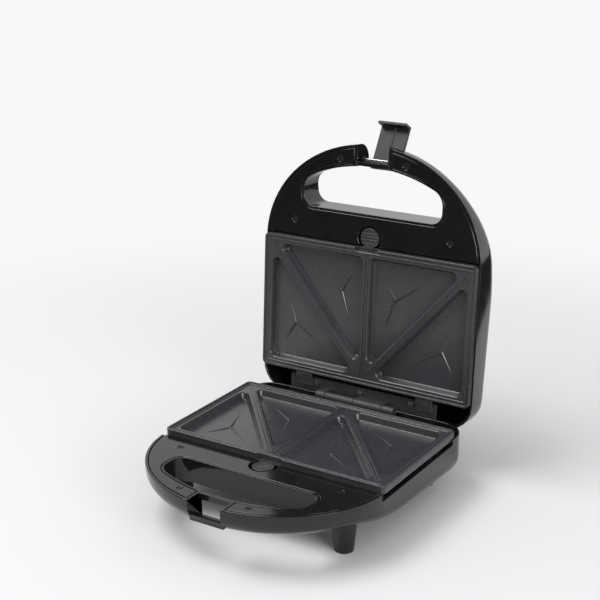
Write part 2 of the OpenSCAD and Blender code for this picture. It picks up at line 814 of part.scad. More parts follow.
// One loop of tube, open at the rear, with its pins turned down through the tray
module heater() {
    turn_x = heater_half_w - heater_bend_r;
    rod_x(-turn_x, turn_x, front_run_y);
    rod_x(-turn_x, -pin_x, rear_run_y);
    rod_x(pin_x, turn_x, rear_run_y);
    for (s = [-1, 1])
        rod_y(s * heater_half_w, front_run_y + heater_bend_r, rear_run_y - heater_bend_r);
    bend(turn_x, rear_run_y - heater_bend_r, 0);
    bend(-turn_x, rear_run_y - heater_bend_r, 90);
    bend(-turn_x, front_run_y + heater_bend_r, 180);
    bend(turn_x, front_run_y + heater_bend_r, 270);
    at_both(pin_x) translate([0, rear_run_y, heater_z]) {
        sphere(heater_r, $fn = fine_fn);
        translate([0, 0, cold_pin_low - heater_z])
            cylinder(h = heater_z - cold_pin_low, r = cold_pin_r, $fn = fine_fn);
    }
}

support_half_w = 5;
support_half_d = 5;
support_x = 45;
module heater_supports() {
    for (y = [front_run_y, rear_run_y]) at_both(support_x) difference() {
        block([-support_half_w, y - support_half_d, tray_t - tray_drop],
              [support_half_w, y + support_half_d, heater_z - 0.5]);
        translate([-far / 2, y, heater_z]) rotate([0, 90, 0])
            cylinder(h = far, r = heater_r + hole_clear, $fn = fine_fn);
    }
}

thermostat_y = -65;
thermostat_r = 8;
thermostat_h = 7;
module base_thermostat() {
    color(steel) placed() translate([0, thermostat_y, -tray_drop - thermostat_h])
        cylinder(h = thermostat_h, r = thermostat_r, $fn = round_fn);
}

fuse_x = 22;
fuse_rear = -48;
fuse_front = -60;
fuse_r = 2.2;
fuse_z = -tray_drop - fuse_r - 0.05;
module thermal_fuse() {
    color(steel) placed() translate([fuse_x, fuse_front, fuse_z]) rotate([-90, 0, 0])
        cylinder(h = fuse_rear - fuse_front, r = fuse_r, $fn = fine_fn);
}

terminal_top = -29;
module terminal_block() {
    color("ivory") placed() difference() {
        block([-terminal_half_w, terminal_y - terminal_half_d, terminal_pad_top],
              [terminal_half_w, terminal_y + terminal_half_d, terminal_top]);
        for (i = [-1, 0, 1]) translate([i * 10, terminal_y + 3.5, terminal_top - 4])
            cylinder(h = 5, r = 2, $fn = fine_fn);
    }
}

wire_r = 1.2;
// A wire through a list of points
module wire(path) {
    for (i = [0 : len(path) - 2]) hull() {
        translate(path[i]) sphere(wire_r, $fn = 10);
        translate(path[i + 1]) sphere(wire_r, $fn = 10);
    }
}

wire_z = cold_pin_low - wire_r - 0.2;
touch = wire_r + 0.05;
module base_wiring() {
    end_y = terminal_y - 3.5;
    fuse_wire_z = -tray_drop - thermostat_h / 2;
    color("firebrick") placed() {
        wire([[pin_x, rear_run_y, cold_pin_low - touch], [pin_x, rear_run_y, wire_z - 1],
              [pin_x, end_y, wire_z - 0.2], [pin_x, end_y, terminal_top + touch]]);
        wire([[-pin_x, rear_run_y, cold_pin_low - touch], [-pin_x, rear_run_y, wire_z - 1],
              [-pin_x - 3, thermostat_y, wire_z - 1], [-pin_x - 3, thermostat_y, fuse_wire_z],
              [-thermostat_r - touch, thermostat_y, fuse_wire_z]]);
        wire([[thermostat_r + touch, thermostat_y, fuse_wire_z], [fuse_x, thermostat_y, fuse_z],
              [fuse_x, fuse_front - touch, fuse_z]]);
        wire([[fuse_x, fuse_rear + touch, fuse_z], [fuse_x, -30, wire_z],
              [pin_x + 4, end_y, wire_z - 0.2], [pin_x + 4, end_y, terminal_top + touch]]);
    }
}

module cord_gland() {
    inner_y = rear_reach - wall;
    color(rubber) placed() translate([gland_x, 0, gland_z]) rotate([-90, 0, 0]) difference() {
        union() {
            for (y = [inner_y - gland_flange_t, rear_reach]) translate([0, 0, y])
                cylinder(h = gland_flange_t, r = gland_flange_r, $fn = round_fn);
            translate([0, 0, inner_y - 1]) cylinder(h = wall + 2, r = gland_neck_r, $fn = round_fn);
        }
        translate([0, 0, inner_y - 5]) cylinder(h = 20, r = cord_bore_r, $fn = round_fn);
    }
}

// ---------- plate clips ----------

clip_t = 1.2;
clip_side = 1.5;
clip_front = 1.5;
clip_rear = 7;
clip_foot_rear = 13.5;
clip_lip_low = lug_top + 0.1;
// A sprung hook over a plate's rear lug, standing on a bracket whose top is at z
module clips(z) {
    at_both(lug_x) {
        half = lug_half_w + clip_side;
        block([-half, clip_front, clip_lip_low], [half, clip_rear, clip_lip_low + clip_t]);
        block([-half, clip_rear - clip_t, z], [half, clip_rear, clip_lip_low + clip_t]);
        block([-half, clip_rear - clip_t, z], [half, clip_foot_rear, z + clip_t]);
    }
}

// ---------- hinge ----------

bracket_x = [31.2 - half_w, half_w - 35.2];
bracket_front = 5;
bracket_rear = rear_reach - wall - 0.4;
base_knuckles = [[-33, -2.5], [27, 40]];
lid_knuckles = [[-43, -33], [-2.5, 27]];
pin_set_in = 1.5;
web_half_d = 3.2;
web_lap = 0.5;
web_drop = 2.6;

module knuckles(spans, z) {
    for (s = spans) translate([s[0] + knuckle_gap / 2, hinge_y, z]) rotate([0, 90, 0])
        cylinder(h = s[1] - s[0] - knuckle_gap, r = barrel_r, $fn = round_fn);
}

module pin_bore(z) {
    translate([-far / 2, hinge_y, z]) rotate([0, 90, 0])
        cylinder(h = far, r = hinge_pin_r + pin_clear, $fn = round_fn);
}

module bracket_plate(top, xs) {
    difference() {
        block([bracket_x[0], bracket_front, top - bracket_t], [bracket_x[1], bracket_rear, top]);
        for (x = xs) translate([x, bracket_screw_y, top - bracket_t - 1])
            cylinder(h = 10, r = bracket_screw_r + hole_clear, $fn = fine_fn);
    }
}

module base_hinge_bracket() {
    color(satin) placed() difference() {
        union() {
            bracket_plate(base_bracket_top, base_bracket_x);
            knuckles(base_knuckles, hinge_z);
            for (s = base_knuckles)
                block([s[0] + knuckle_gap / 2, hinge_y - web_half_d, base_bracket_top - web_lap],
                      [s[1] - knuckle_gap / 2, hinge_y + web_half_d, hinge_z - web_drop]);
        }
        pin_bore(hinge_z);
    }
}

lid_hinge_z = plate_gap - hinge_z;
arm_front = hinge_y - barrel_r;
arm_rear = hinge_y - 0.9;
module lid_hinge_bracket() {
    color(grey) in_lid() difference() {
        union() {
            bracket_plate(lid_bracket_top, lid_bracket_x);
            knuckles(lid_knuckles, lid_hinge_z);
            for (s = lid_knuckles)
                block([s[0] + knuckle_gap / 2, arm_front, lid_bracket_top - web_lap],
                      [s[1] - knuckle_gap / 2, arm_rear, lid_hinge_z]);
        }
        pin_bore(lid_hinge_z);
    }
}

module hinge_pin() {
    left = lid_knuckles[0][0];
    right = base_knuckles[1][1];
    color(steel) placed() translate([left + pin_set_in, hinge_y, hinge_z]) rotate([0, 90, 0])
        cylinder(h = right - left - 2 * pin_set_in, r = hinge_pin_r, $fn = round_fn);
}

module bracket_screws(top, xs) {
    for (x = xs) translate([x, bracket_screw_y, top])
        screw(bracket_screw_r, bracket_head_r, bracket_head_h, bracket_screw_len + bracket_t);
}

// ---------- feet ----------

module foot(p, top_r) {
    top = -20;
    difference() {
        translate([p[0], p[1], floor_z + pad_t])
            cylinder(h = top - floor_z - pad_t, r1 = foot_bottom_r, r2 = top_r, $fn = round_fn);
        body_solid(base_profile, 0, 0);
        translate([p[0], p[1], floor_z - 1]) {
            cylinder(h = 60, r = foot_screw_r + hole_clear, $fn = fine_fn);
            cylinder(h = foot_seat + 1, r = 3.6, $fn = fine_fn);
        }
    }
}

module front_feet() {
    color(black) placed() for (i = [0, 1]) foot(foot_spots[i], foot_top_r);
}

module rear_feet() {
    color(black) placed() for (i = [2, 3]) foot(foot_spots[i], foot_top_r - 1);
}

module foot_pads() {
    color(rubber) placed() for (f = foot_spots) translate([f[0], f[1], floor_z]) difference() {
        cylinder(h = pad_t, r = foot_bottom_r - 0.4, $fn = round_fn);
        translate([0, 0, -1]) cylinder(h = pad_t + 2, r = 3.8, $fn = fine_fn);
    }
}

module foot_screws() {
    color(steel) placed() for (f = foot_spots) {
        skin_z = -depth_at(base_profile, f[1]);
        translate([f[0], f[1], floor_z + foot_seat]) rotate([180, 0, 0])
            screw(foot_screw_r, 3.2, 1.6, skin_z - floor_z - foot_seat + foot_screw_top - 2);
    }
}

// ---------- latch ----------

ear_t = 2.5;
rib_half_w = 1;
rib_h = 1;
rib_top = -4;
module latch() {
    outer = latch_face_y - latch_t;
    top = pivot_z + ear_r;
    color(charcoal) latch_rest() difference() {
        union() {
            block([-latch_half_w, outer, hook_low], [latch_half_w, latch_face_y, top]);
            block([-latch_half_w, outer, hook_low],
                  [latch_half_w, latch_face_y + hook_reach, hook_top]);
            at_both(latch_half_w - ear_t / 2) {
                block([-ear_t / 2, latch_face_y - lap, pivot_z - ear_r],
                      [ear_t / 2, pivot_y, top]);
                translate([-ear_t / 2, pivot_y, pivot_z]) rotate([0, 90, 0])
                    cylinder(h = ear_t, r = ear_r, $fn = fine_fn);
            }
            block([-rib_half_w, latch_face_y - lap, hook_top],
                  [rib_half_w, latch_face_y + rib_h, rib_top]);
        }
        translate([-far / 2, pivot_y, pivot_z]) rotate([0, 90, 0])
            cylinder(h = far, r = latch_pin_r + pin_clear, $fn = fine_fn);
    }
}

module latch_pin() {
    reach = notch_half_w + wall - 0.3;
    color(steel) opened() translate([-reach, pivot_y, pivot_z]) rotate([0, 90, 0])
        cylinder(h = 2 * reach, r = latch_pin_r, $fn = fine_fn);
}

// ---------- lamps and lid wiring ----------

module indicator_lenses() {
    skin_z = -depth_at(lid_profile, lens_y);
    color("darkred") in_lid() at_both(lens_x) translate([0, lens_y, skin_z - 1.2]) {
        cylinder(h = 5.5, r = lens_r, $fn = fine_fn);
    }
}

module lamp_board() {
    board_t = 1.6;
    board_half_w = lamp_post_x + lamp_post_r;
    color("darkgreen") in_lid() {
        block([-board_half_w, lens_y - board_half_d, lamp_board_under],
              [board_half_w, lens_y + board_half_d, lamp_board_under + board_t]);
        at_both(lens_x) translate([0, lens_y, lamp_board_under - lamp_h])
            cylinder(h = lamp_h + 0.1, r = lamp_r, $fn = fine_fn);
    }
}

module lid_wiring() {
    level = -tray_drop - wire_r - 1;
    color("firebrick") in_lid() {
        at_both(pin_x)
            wire([[0, lens_y + board_half_d + touch, lamp_board_under], [0, lens_y + 14, level - 1],
                  [0, rear_run_y - cold_pin_r - touch, level]]);
        wire([[pin_x, rear_run_y + cold_pin_r + touch, level], [pin_x, -10, level],
              [lug_x, -6, level], [lug_x, 12, level],
              [lug_x, 12, lid_bracket_top - bracket_t - touch]]);
    }
}

// ---------- all pieces ----------

module base_panel() { color(satin) placed() panel(); }
module base_plate() { color(charcoal) placed() plate(base_pockets, base_mark_at); }
module base_reflector() { color(steel) placed() reflector(); }
module base_heater() { color(steel) placed() heater(); }
module base_heater_supports() { color(steel) placed() heater_supports(); }
module base_release_button() { color(grey) placed() release_button(); }
module base_button_spring() { color(steel) placed() button_spring(); }
module base_plate_clips() { color(steel) placed() clips(base_bracket_top); }
module base_panel_screws() { color(steel) placed() panel_screws(); }
module base_bracket_screws() { color(steel) placed() bracket_screws(base_bracket_top, base_bracket_x); }
module base_reflector_screws() { color(steel) placed() tray_screws(); }
module lid_panel() { color(satin) in_lid() panel(); }
module lid_plate() { color(charcoal) in_lid() plate(lid_pockets, lid_mark_at); }
module lid_reflector() { color(steel) in_lid() reflector(); }
module lid_heater() { color(steel) in_lid() heater(); }
module lid_heater_supports() { color(steel) in_lid() heater_supports(); }
module lid_release_button() { color(grey) in_lid() release_button(); }
module lid_button_spring() { color(steel) in_lid() button_spring(); }
module lid_plate_clips() { color(steel) in_lid() clips(lid_bracket_top); }
module lid_panel_screws() { color(steel) in_lid() panel_screws(); }
module lid_bracket_screws() { color(steel) in_lid() bracket_screws(lid_bracket_top, lid_bracket_x); }
module lid_reflector_screws() { color(steel) in_lid() tray_screws(); }

base_shell();
base_panel();
base_plate();
base_reflector();
base_heater();
base_heater_supports();
base_thermostat();
thermal_fuse();
terminal_block();
base_wiring();
cord_gland();
base_release_button();
base_button_spring();
base_plate_clips();
base_hinge_bracket();
hinge_pin();
front_feet();
rear_feet();
foot_pads();
foot_screws();
base_panel_screws();
base_bracket_screws();
base_reflector_screws();
lid_shell();
lid_panel();
lid_plate();
lid_reflector();
lid_heater();
lid_heater_supports();
lid_wiring();
indicator_lenses();
lamp_board();
lid_release_button();
lid_button_spring();
lid_plate_clips();
lid_hinge_bracket();
lid_panel_screws();
lid_bracket_screws();
lid_reflector_screws();
latch();
latch_pin();
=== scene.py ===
"""A two-slice sandwich toaster, open on its hinge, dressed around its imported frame."""

import json
import logging
import math
from collections.abc import Callable, Sequence
from dataclasses import dataclass, field
from enum import Enum

import bmesh
import bpy
from bpy.types import ID, Material, Node, NodeSocket, NodeTree, Object
from mathutils import Matrix, Vector


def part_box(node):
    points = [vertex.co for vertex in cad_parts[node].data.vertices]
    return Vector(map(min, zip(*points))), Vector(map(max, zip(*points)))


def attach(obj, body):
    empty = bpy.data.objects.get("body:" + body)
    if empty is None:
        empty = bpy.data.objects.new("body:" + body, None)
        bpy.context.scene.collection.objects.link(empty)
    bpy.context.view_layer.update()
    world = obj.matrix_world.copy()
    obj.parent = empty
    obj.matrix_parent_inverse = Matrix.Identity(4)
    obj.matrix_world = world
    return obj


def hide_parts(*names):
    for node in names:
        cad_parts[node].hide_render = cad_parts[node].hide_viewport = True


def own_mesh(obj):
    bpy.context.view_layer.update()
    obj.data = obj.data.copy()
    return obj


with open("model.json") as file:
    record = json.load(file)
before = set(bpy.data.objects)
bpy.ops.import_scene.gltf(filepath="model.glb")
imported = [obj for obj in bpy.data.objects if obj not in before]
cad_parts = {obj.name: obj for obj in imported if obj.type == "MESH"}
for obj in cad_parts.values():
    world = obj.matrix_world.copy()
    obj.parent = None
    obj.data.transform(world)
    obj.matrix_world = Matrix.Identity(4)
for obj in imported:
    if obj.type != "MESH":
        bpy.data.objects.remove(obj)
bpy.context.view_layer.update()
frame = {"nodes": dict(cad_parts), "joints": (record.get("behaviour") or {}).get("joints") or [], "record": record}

MM = 0.001
log = logging.getLogger("sandwich_toaster")

Point2 = tuple[float, float]
Point3 = tuple[float, float, float]
BMesh, BMEdge, BMVert = bmesh.types.BMesh, bmesh.types.BMEdge, bmesh.types.BMVert

# The part of a noise texture's range in which most of its values lie
NOISE_LOW, NOISE_HIGH = 0.3, 0.7
SAME_POINT_MM = 1e-4


# ---- colour and nodes


def linear(hex_colour: str) -> tuple[float, float, float, float]:
    """Turns an sRGB hex colour to linear light.

    Args:
        hex_colour: Six hex digits after a hash, such as "#1a1a1c".

    Returns:
        Linear red, green and blue, and an alpha of 1.
    """
    channels = [int(hex_colour[i : i + 2], 16) / 255 for i in (1, 3, 5)]
    light = [c / 12.92 if c <= 0.04045 else ((c + 0.055) / 1.055) ** 2.4 for c in channels]
    return (light[0], light[1], light[2], 1.0)


def add_node(
    tree: NodeTree,
    kind: str,
    settings: dict[str, object] | None = None,
    inputs: dict[str | int, object] | None = None,
) -> Node:
    """Adds a node with its settings, its plain inputs and its links.

    Args:
        tree: The node tree that takes the node.
        kind: The node's type, such as "ShaderNodeTexNoise".
        settings: Properties of the node by name.
        inputs: Input sockets by name or place, each a value or a socket to link from.

    Returns:
        The new node.
    """
    node = tree.nodes.new(kind)
    for name, value in (settings or {}).items():
        setattr(node, name, value)
    for name, value in (inputs or {}).items():
        if isinstance(value, NodeSocket):
            tree.links.new(value, node.inputs[name])
        else:
            node.inputs[name].default_value = value
    return node


# ---- finishes


@dataclass(frozen=True)
class Finish:
    """What every finish has: its name, its colour and how it takes the light.

    A finish draws its patterns in object space, in metres, so they keep their real size.
    A moulding's real grain is finer than a pixel of the view, which is about 0.8 mm, so
    grain_mm is coarser than real.
    """

    name: str
    colour: str
    worn_colour: str
    roughness: float
    ior: float = 1.5
    metallic: float = 0.0
    roughness_spread: float = 0.08
    least_roughness: float = 0.02
    patch_mm: float = 38.0
    patch_from: float = 0.35
    patch_full: float = 0.85
    grain_mm: float = 0.9
    grain_height_mm: float = 0.012
    edge_mm: float = 0.35
    edge_samples: int = 4

    def material(self) -> Material:
        """Builds the finish.

        Returns:
            The material, with its nodes linked.
        """
        made = bpy.data.materials.new(self.name)
        made.use_nodes = True
        tree = made.node_tree
        tree.nodes.clear()
        place = add_node(tree, "ShaderNodeTexCoord").outputs["Object"]
        shader = add_node(
            tree,
            "ShaderNodeBsdfPrincipled",
            inputs={
                "Base Color": self.colouring(tree, place),
                "Roughness": self.sheen(tree, place),
                "Normal": self.relief(tree, place),
                "IOR": self.ior,
                "Metallic": self.metallic,
            },
        )
        self.finish_shader(shader)
        add_node(tree, "ShaderNodeOutputMaterial", inputs={"Surface": shader.outputs[0]})
        return made

    def finish_shader(self, shader: Node) -> None:
        """Sets what only some finishes have, such as light passing through."""

    def noise(self, tree: NodeTree, place: NodeSocket, size_mm: float, detail: float) -> NodeSocket:
        """Gives a noise whose blotches have a real size.

        Args:
            tree: The material's nodes.
            place: Object coordinates, in metres.
            size_mm: Size of a blotch.
            detail: Octaves of finer noise.

        Returns:
            The noise's value, from 0 to 1.
        """
        inputs = {"Vector": place, "Scale": 1 / (size_mm * MM), "Detail": detail}
        return add_node(tree, "ShaderNodeTexNoise", inputs=inputs).outputs["Fac"]

    def colouring(self, tree: NodeTree, place: NodeSocket) -> NodeSocket:
        """Gives the base colour: the finish's own, shaded in broad soft patches.

        Args:
            tree: The material's nodes.
            place: Object coordinates, in metres.

        Returns:
            The colour.
        """
        patches = self.noise(tree, place, self.patch_mm, detail=3)
        ramp = add_node(tree, "ShaderNodeValToRGB", inputs={"Fac": patches})
        first, last = ramp.color_ramp.elements
        first.position, first.color = self.patch_from, linear(self.colour)
        last.position, last.color = self.patch_full, linear(self.worn_colour)
        return ramp.outputs["Color"]

    def sheen(self, tree: NodeTree, place: NodeSocket) -> NodeSocket:
        """Gives the roughness: smoother and duller patches, as handling leaves them.

        Args:
            tree: The material's nodes.
            place: Object coordinates, in metres.

        Returns:
            The roughness.
        """
        inputs = {
            "Value": self.noise(tree, place, self.patch_mm / 3, detail=4),
            "From Min": NOISE_LOW,
            "From Max": NOISE_HIGH,
            "To Min": max(self.roughness - self.roughness_spread / 2, self.least_roughness),
            "To Max": self.roughness + self.roughness_spread / 2,
        }
        return add_node(tree, "ShaderNodeMapRange", inputs=inputs).outputs["Result"]

    def relief(self, tree: NodeTree, place: NodeSocket) -> NodeSocket:
        """Gives the normal: edges slightly rounded, and the surface's fine grain.

        Args:
            tree: The material's nodes.
            place: Object coordinates, in metres.

        Returns:
            The normal.
        """
        edge = add_node(
            tree,
            "ShaderNodeBevel",
            {"samples": self.edge_samples},
            {"Radius": self.edge_mm * MM},
        ).outputs["Normal"]
        inputs = {
            "Height": self.noise(tree, place, self.grain_mm, detail=2),
            "Distance": self.grain_height_mm * MM,
            "Normal": edge,
        }
        return add_node(tree, "ShaderNodeBump", inputs=inputs).outputs["Normal"]


@dataclass(frozen=True)
class NonStickCoating(Finish):
    """Fluoropolymer sprayed on pressed aluminium: dark grey and silky, with pale flecks.

    The flecks are mica, about 0.2 mm across. They are drawn at fleck_mm, coarser than
    real, because a real one is far smaller than a pixel of the view. Each fades from its
    core to its edge, measured in shares of fleck_mm.
    """

    fleck_mm: float = 0.6
    fleck_colour: str = "#8b8b8f"
    fleck_core: float = 0.12
    fleck_edge: float = 0.28
    fleck_strength: float = 0.25

    def colouring(self, tree: NodeTree, place: NodeSocket) -> NodeSocket:
        """Gives the coating's colour with its flecks.

        Args:
            tree: The material's nodes.
            place: Object coordinates, in metres.

        Returns:
            The colour.
        """
        base = super().colouring(tree, place)
        inputs = {"Vector": place, "Scale": 1 / (self.fleck_mm * MM)}
        flecks = add_node(tree, "ShaderNodeTexVoronoi", inputs=inputs)
        mask = add_node(
            tree,
            "ShaderNodeMapRange",
            inputs={
                "Value": flecks.outputs["Distance"],
                "From Min": self.fleck_edge,
                "From Max": self.fleck_core,
                "To Max": self.fleck_strength,
            },
        )
        # The node mixes colours through its inputs 6 and 7 and its output 2
        mix = add_node(
            tree,
            "ShaderNodeMix",
            {"data_type": "RGBA"},
            {"Factor": mask.outputs["Result"], 6: base, 7: linear(self.fleck_colour)},
        )
        return mix.outputs[2]


@dataclass(frozen=True)
class BrushedMetal(Finish):
    """Rolled steel or pressed aluminium: fine lines run one way and stretch the light."""

    line_mm: float = 0.35
    line_stretch: Point3 = (0.04, 1.0, 1.0)

    def sheen(self, tree: NodeTree, place: NodeSocket) -> NodeSocket:
        """Gives the roughness, drawn out along the rolling lines.

        Args:
            tree: The material's nodes.
            place: Object coordinates, in metres.

        Returns:
            The roughness.
        """
        stretched = add_node(
            tree, "ShaderNodeMapping", inputs={"Vector": place, "Scale": self.line_stretch}
        ).outputs["Vector"]
        inputs = {
            "Value": self.noise(tree, stretched, self.line_mm, detail=3),
            "From Min": NOISE_LOW,
            "From Max": NOISE_HIGH,
            "To Min": self.roughness - self.roughness_spread,
            "To Max": self.roughness + self.roughness_spread,
        }
        return add_node(tree, "ShaderNodeMapRange", inputs=inputs).outputs["Result"]


@dataclass(frozen=True)
class WovenSleeve(Finish):
    """Braided glass fibre over a wire: small crossing ribs, with no shine."""

    braid_mm: float = 0.8
    rib_height_mm: float = 0.1
    braid_turn: Point3 = (0.6, 0.6, 0.8)

    # About how long one wave of the texture is at a scale of 1
    WAVE_LENGTH = 0.3

    def relief(self, tree: NodeTree, place: NodeSocket) -> NodeSocket:
        """Gives the braid's crossing ribs.

        Args:
            tree: The material's nodes.
            place: Object coordinates, in metres.

        Returns:
            The normal.
        """
        turned = add_node(
            tree, "ShaderNodeMapping", inputs={"Vector": place, "Rotation": self.braid_turn}
        ).outputs["Vector"]
        scale = self.WAVE_LENGTH / (self.braid_mm * MM)
        ribs = add_node(tree, "ShaderNodeTexWave", inputs={"Vector": turned, "Scale": scale})
        inputs = {"Height": ribs.outputs["Fac"], "Distance": self.rib_height_mm * MM}
        return add_node(tree, "ShaderNodeBump", inputs=inputs).outputs["Normal"]


@dataclass(frozen=True)
class ClearLens(Finish):
    """Tinted polycarbonate, moulded and polished: light passes in and glows red."""

    transmission: float = 0.5

    def finish_shader(self, shader: Node) -> None:
        """Lets part of the light through."""
        shader.inputs["Transmission Weight"].default_value = self.transmission


# ABS, injection moulded in a polished tool: near black, with clear soft-edged reflections
SHELL_ABS = Finish(
    "shell_black_abs", "#0f0f11", "#141416",
    roughness=0.11, roughness_spread=0.05, grain_height_mm=0.003,
)
# ABS, moulded in a finely blasted tool: as dark, but reflections spread a little more
PANEL_ABS = Finish(
    "panel_black_abs", "#101012", "#151517",
    roughness=0.13, roughness_spread=0.04, grain_height_mm=0.003,
)
# The sprayed non-stick coating on both cooking plates
COATING = NonStickCoating(
    "nonstick_coating", "#2b2b2e", "#323235", roughness=0.27, ior=1.55,
    grain_mm=0.8, grain_height_mm=0.004, edge_mm=0.45,
)
# Glass-filled polyamide: charcoal satin that hides fingerprints, on the latch
LATCH_NYLON = Finish(
    "latch_charcoal_nylon", "#18181a", "#202023",
    roughness=0.46, grain_mm=0.6, grain_height_mm=0.03,
)
# Polypropylene, moulded satin: the two release buttons
BUTTON_PP = Finish(
    "button_grey_polypropylene", "#2b2b2e", "#333336",
    roughness=0.33, grain_mm=0.6, grain_height_mm=0.02,
)
# The same ABS as the shells from a blasted tool, which leaves it satin: the feet
FOOT_ABS = Finish("foot_black_abs", "#101012", "#161618", roughness=0.34, grain_height_mm=0.02)
# Heat-proof phenolic, pressed: dark grey and nearly matt, on the hinge halves
BRACKET_PHENOLIC = Finish(
    "hinge_grey_phenolic", "#292929", "#323231",
    roughness=0.5, grain_mm=0.7, grain_height_mm=0.04,
)
# Cold-rolled steel, zinc plated and passivated: grey lines of light on springs, clips,
# pins and trays
ROLLED_STEEL = BrushedMetal(
    "zinc_plated_steel", "#a9a9ac", "#b9b9bb",
    roughness=0.32, metallic=1.0, roughness_spread=0.1,
)
# Steel screws, black phosphate: near black, with only a faint metal gleam
BLACK_SCREW = Finish(
    "black_phosphate_steel", "#1d1d1f", "#272729", roughness=0.3, metallic=0.3, edge_mm=0.15
)
# Silicone rubber, moulded: black and dull, on the foot pads and the cord gland
SILICONE = Finish(
    "black_silicone", "#1b1b1b", "#232323", roughness=0.75, ior=1.41, grain_height_mm=0.03
)
# Steatite ceramic, pressed and fired: cream and chalky, the terminal block
STEATITE = Finish("cream_steatite", "#d5cfbd", "#e0dac9", roughness=0.55, grain_height_mm=0.03)
# Silicone-varnished glass braid: dark red and ribbed, on the wires
GLASS_BRAID = WovenSleeve("dark_red_glass_braid", "#3b1712", "#48201a", roughness=0.8)
# Red polycarbonate, moulded and polished: glassy, over the lamps
RED_LENS = ClearLens("red_polycarbonate", "#8c120e", "#a01a14", roughness=0.12, ior=1.58)
# Epoxy and glass board with a green lacquer: half glossy
BOARD = Finish("green_board", "#15402a", "#1b4d33", roughness=0.4, grain_mm=0.5)

# Which finish each of the record's material slots has
SLOT_FINISHES: dict[str, Finish] = {
    "shell_plastic": SHELL_ABS,
    "panel_plastic": PANEL_ABS,
    "nonstick_plate": COATING,
    "latch_plastic": LATCH_NYLON,
    "button_plastic": BUTTON_PP,
    "foot_plastic": FOOT_ABS,
    "bracket_plastic": BRACKET_PHENOLIC,
    "steel": ROLLED_STEEL,
    "dark_screw": BLACK_SCREW,
    "black_rubber": SILICONE,
    "pale_plastic": STEATITE,
    "wire_sleeve": GLASS_BRAID,
    "lens_red": RED_LENS,
    "board_green": BOARD,
}


class Wardrobe:
    """Builds each finish once and hands it out by the record's slot names."""

    def __init__(self) -> None:
        """Starts with no finish built."""
        self._made: dict[str, Material] = {}

    def for_slot(self, slot: str) -> Material:
        """Gives a slot's material, built at its first use.

        Args:
            slot: One of the record's material slots.

        Returns:
            The material.
        """
        if slot not in self._made:
            self._made[slot] = SLOT_FINISHES[slot].material()
        return self._made[slot]


# ---- where the halves are


class Half(Enum):
    """The two halves of the toaster, by the body that each rides on."""

    BASE = "base"
    LID = "lid"


@dataclass
class Clamshell:
    """Where both halves' rim planes are, read from the frame.

    A half's own coordinates are in millimetres: x to the right, y from its plate's rear
    edge with the handle at -y, and z from its rim plane with the body below it. The rim
    gap is what lies between both rim planes when the toaster is closed.
    """

    plate_depth_mm: float = 130.0
    rim_gap_mm: float = 0.8
    rim_z: float = field(init=False)
    rear_y: float = field(init=False)
    hinge: Vector = field(init=False)
    open_angle: float = field(init=False)

    def __post_init__(self) -> None:
        """Reads the lower plate's box and the hinge joint."""
        low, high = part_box("base_plate")
        self.rim_z = high.z
        self.rear_y = low.y + self.plate_depth_mm * MM
        hinge = next(j for j in frame["joints"] if j["name"] == "lid_hinge")
        self.hinge = Vector(hinge["pos_m"])
        self.open_angle = math.radians(hinge["range_deg"][1])

    def place(self, half: Half, point: Point3) -> Vector:
        """Takes a point of a half to where it is in the open toaster.

        Args:
            half: Which half the point belongs to.
            point: The point in the half's own millimetres.

        Returns:
            The point in the frame, in metres.
        """
        x, y, z = (value * MM for value in point)
        if half is Half.BASE:
            return Vector((x, self.rear_y + y, self.rim_z + z))
        closed = Vector((x, self.rear_y + y, self.rim_z + self.rim_gap_mm * MM - z))
        arm = closed - self.hinge
        turned = Matrix.Rotation(-self.open_angle, 3, "X") @ arm
        return Vector((x, self.hinge.y + turned.y, self.hinge.z + turned.z))


# ---- mesh helpers


def skin(mesh: BMesh, rows: Sequence[Sequence[Point3]]) -> list[list[BMVert]]:
    """Skins closed rows of points with quads.

    Args:
        mesh: The mesh that takes the faces.
        rows: Rows of as many points each.

    Returns:
        The vertices of each row.
    """
    made = [[mesh.verts.new(point) for point in row] for row in rows]
    count = len(rows[0])
    for low, high in zip(made, made[1:]):
        for i in range(count):
            j = (i + 1) % count
            mesh.faces.new((low[i], low[j], high[j], high[i]))
    return made


def skin_capped(mesh: BMesh, rows: Sequence[Sequence[Point3]]) -> None:
    """Skins closed rows of points and caps both ends.

    Args:
        mesh: The mesh that takes the faces.
        rows: Rows of as many points each.
    """
    made = skin(mesh, rows)
    mesh.faces.new(made[0])
    mesh.faces.new(made[-1])


def add_object(name: str, data: ID) -> Object:
    """Makes an object and links it to the scene.

    Args:
        name: The new object's name.
        data: Its mesh, lamp or camera.

    Returns:
        The object.
    """
    made = bpy.data.objects.new(name, data)
    bpy.context.scene.collection.objects.link(made)
    return made


def to_object(mesh: BMesh, name: str, crisp_degrees: float) -> Object:
    """Makes a mesh an object with smooth faces and crisp edges.

    Args:
        mesh: The mesh in the frame's metres. It is freed.
        name: The new object's name.
        crisp_degrees: Edges that turn more than this stay crisp.

    Returns:
        The new object, in the scene.
    """
    for face in mesh.faces:
        face.smooth = True
    for edge in mesh.edges:
        edge.smooth = edge.calc_face_angle(math.pi) < math.radians(crisp_degrees)
    data = bpy.data.meshes.new(name)
    mesh.to_mesh(data)
    mesh.free()
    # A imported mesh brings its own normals, which don't fit the cleaned copy's faces
    normals = data.attributes.get("custom_normal")
    if normals:
        data.attributes.remove(normals)
    return add_object(name, data)


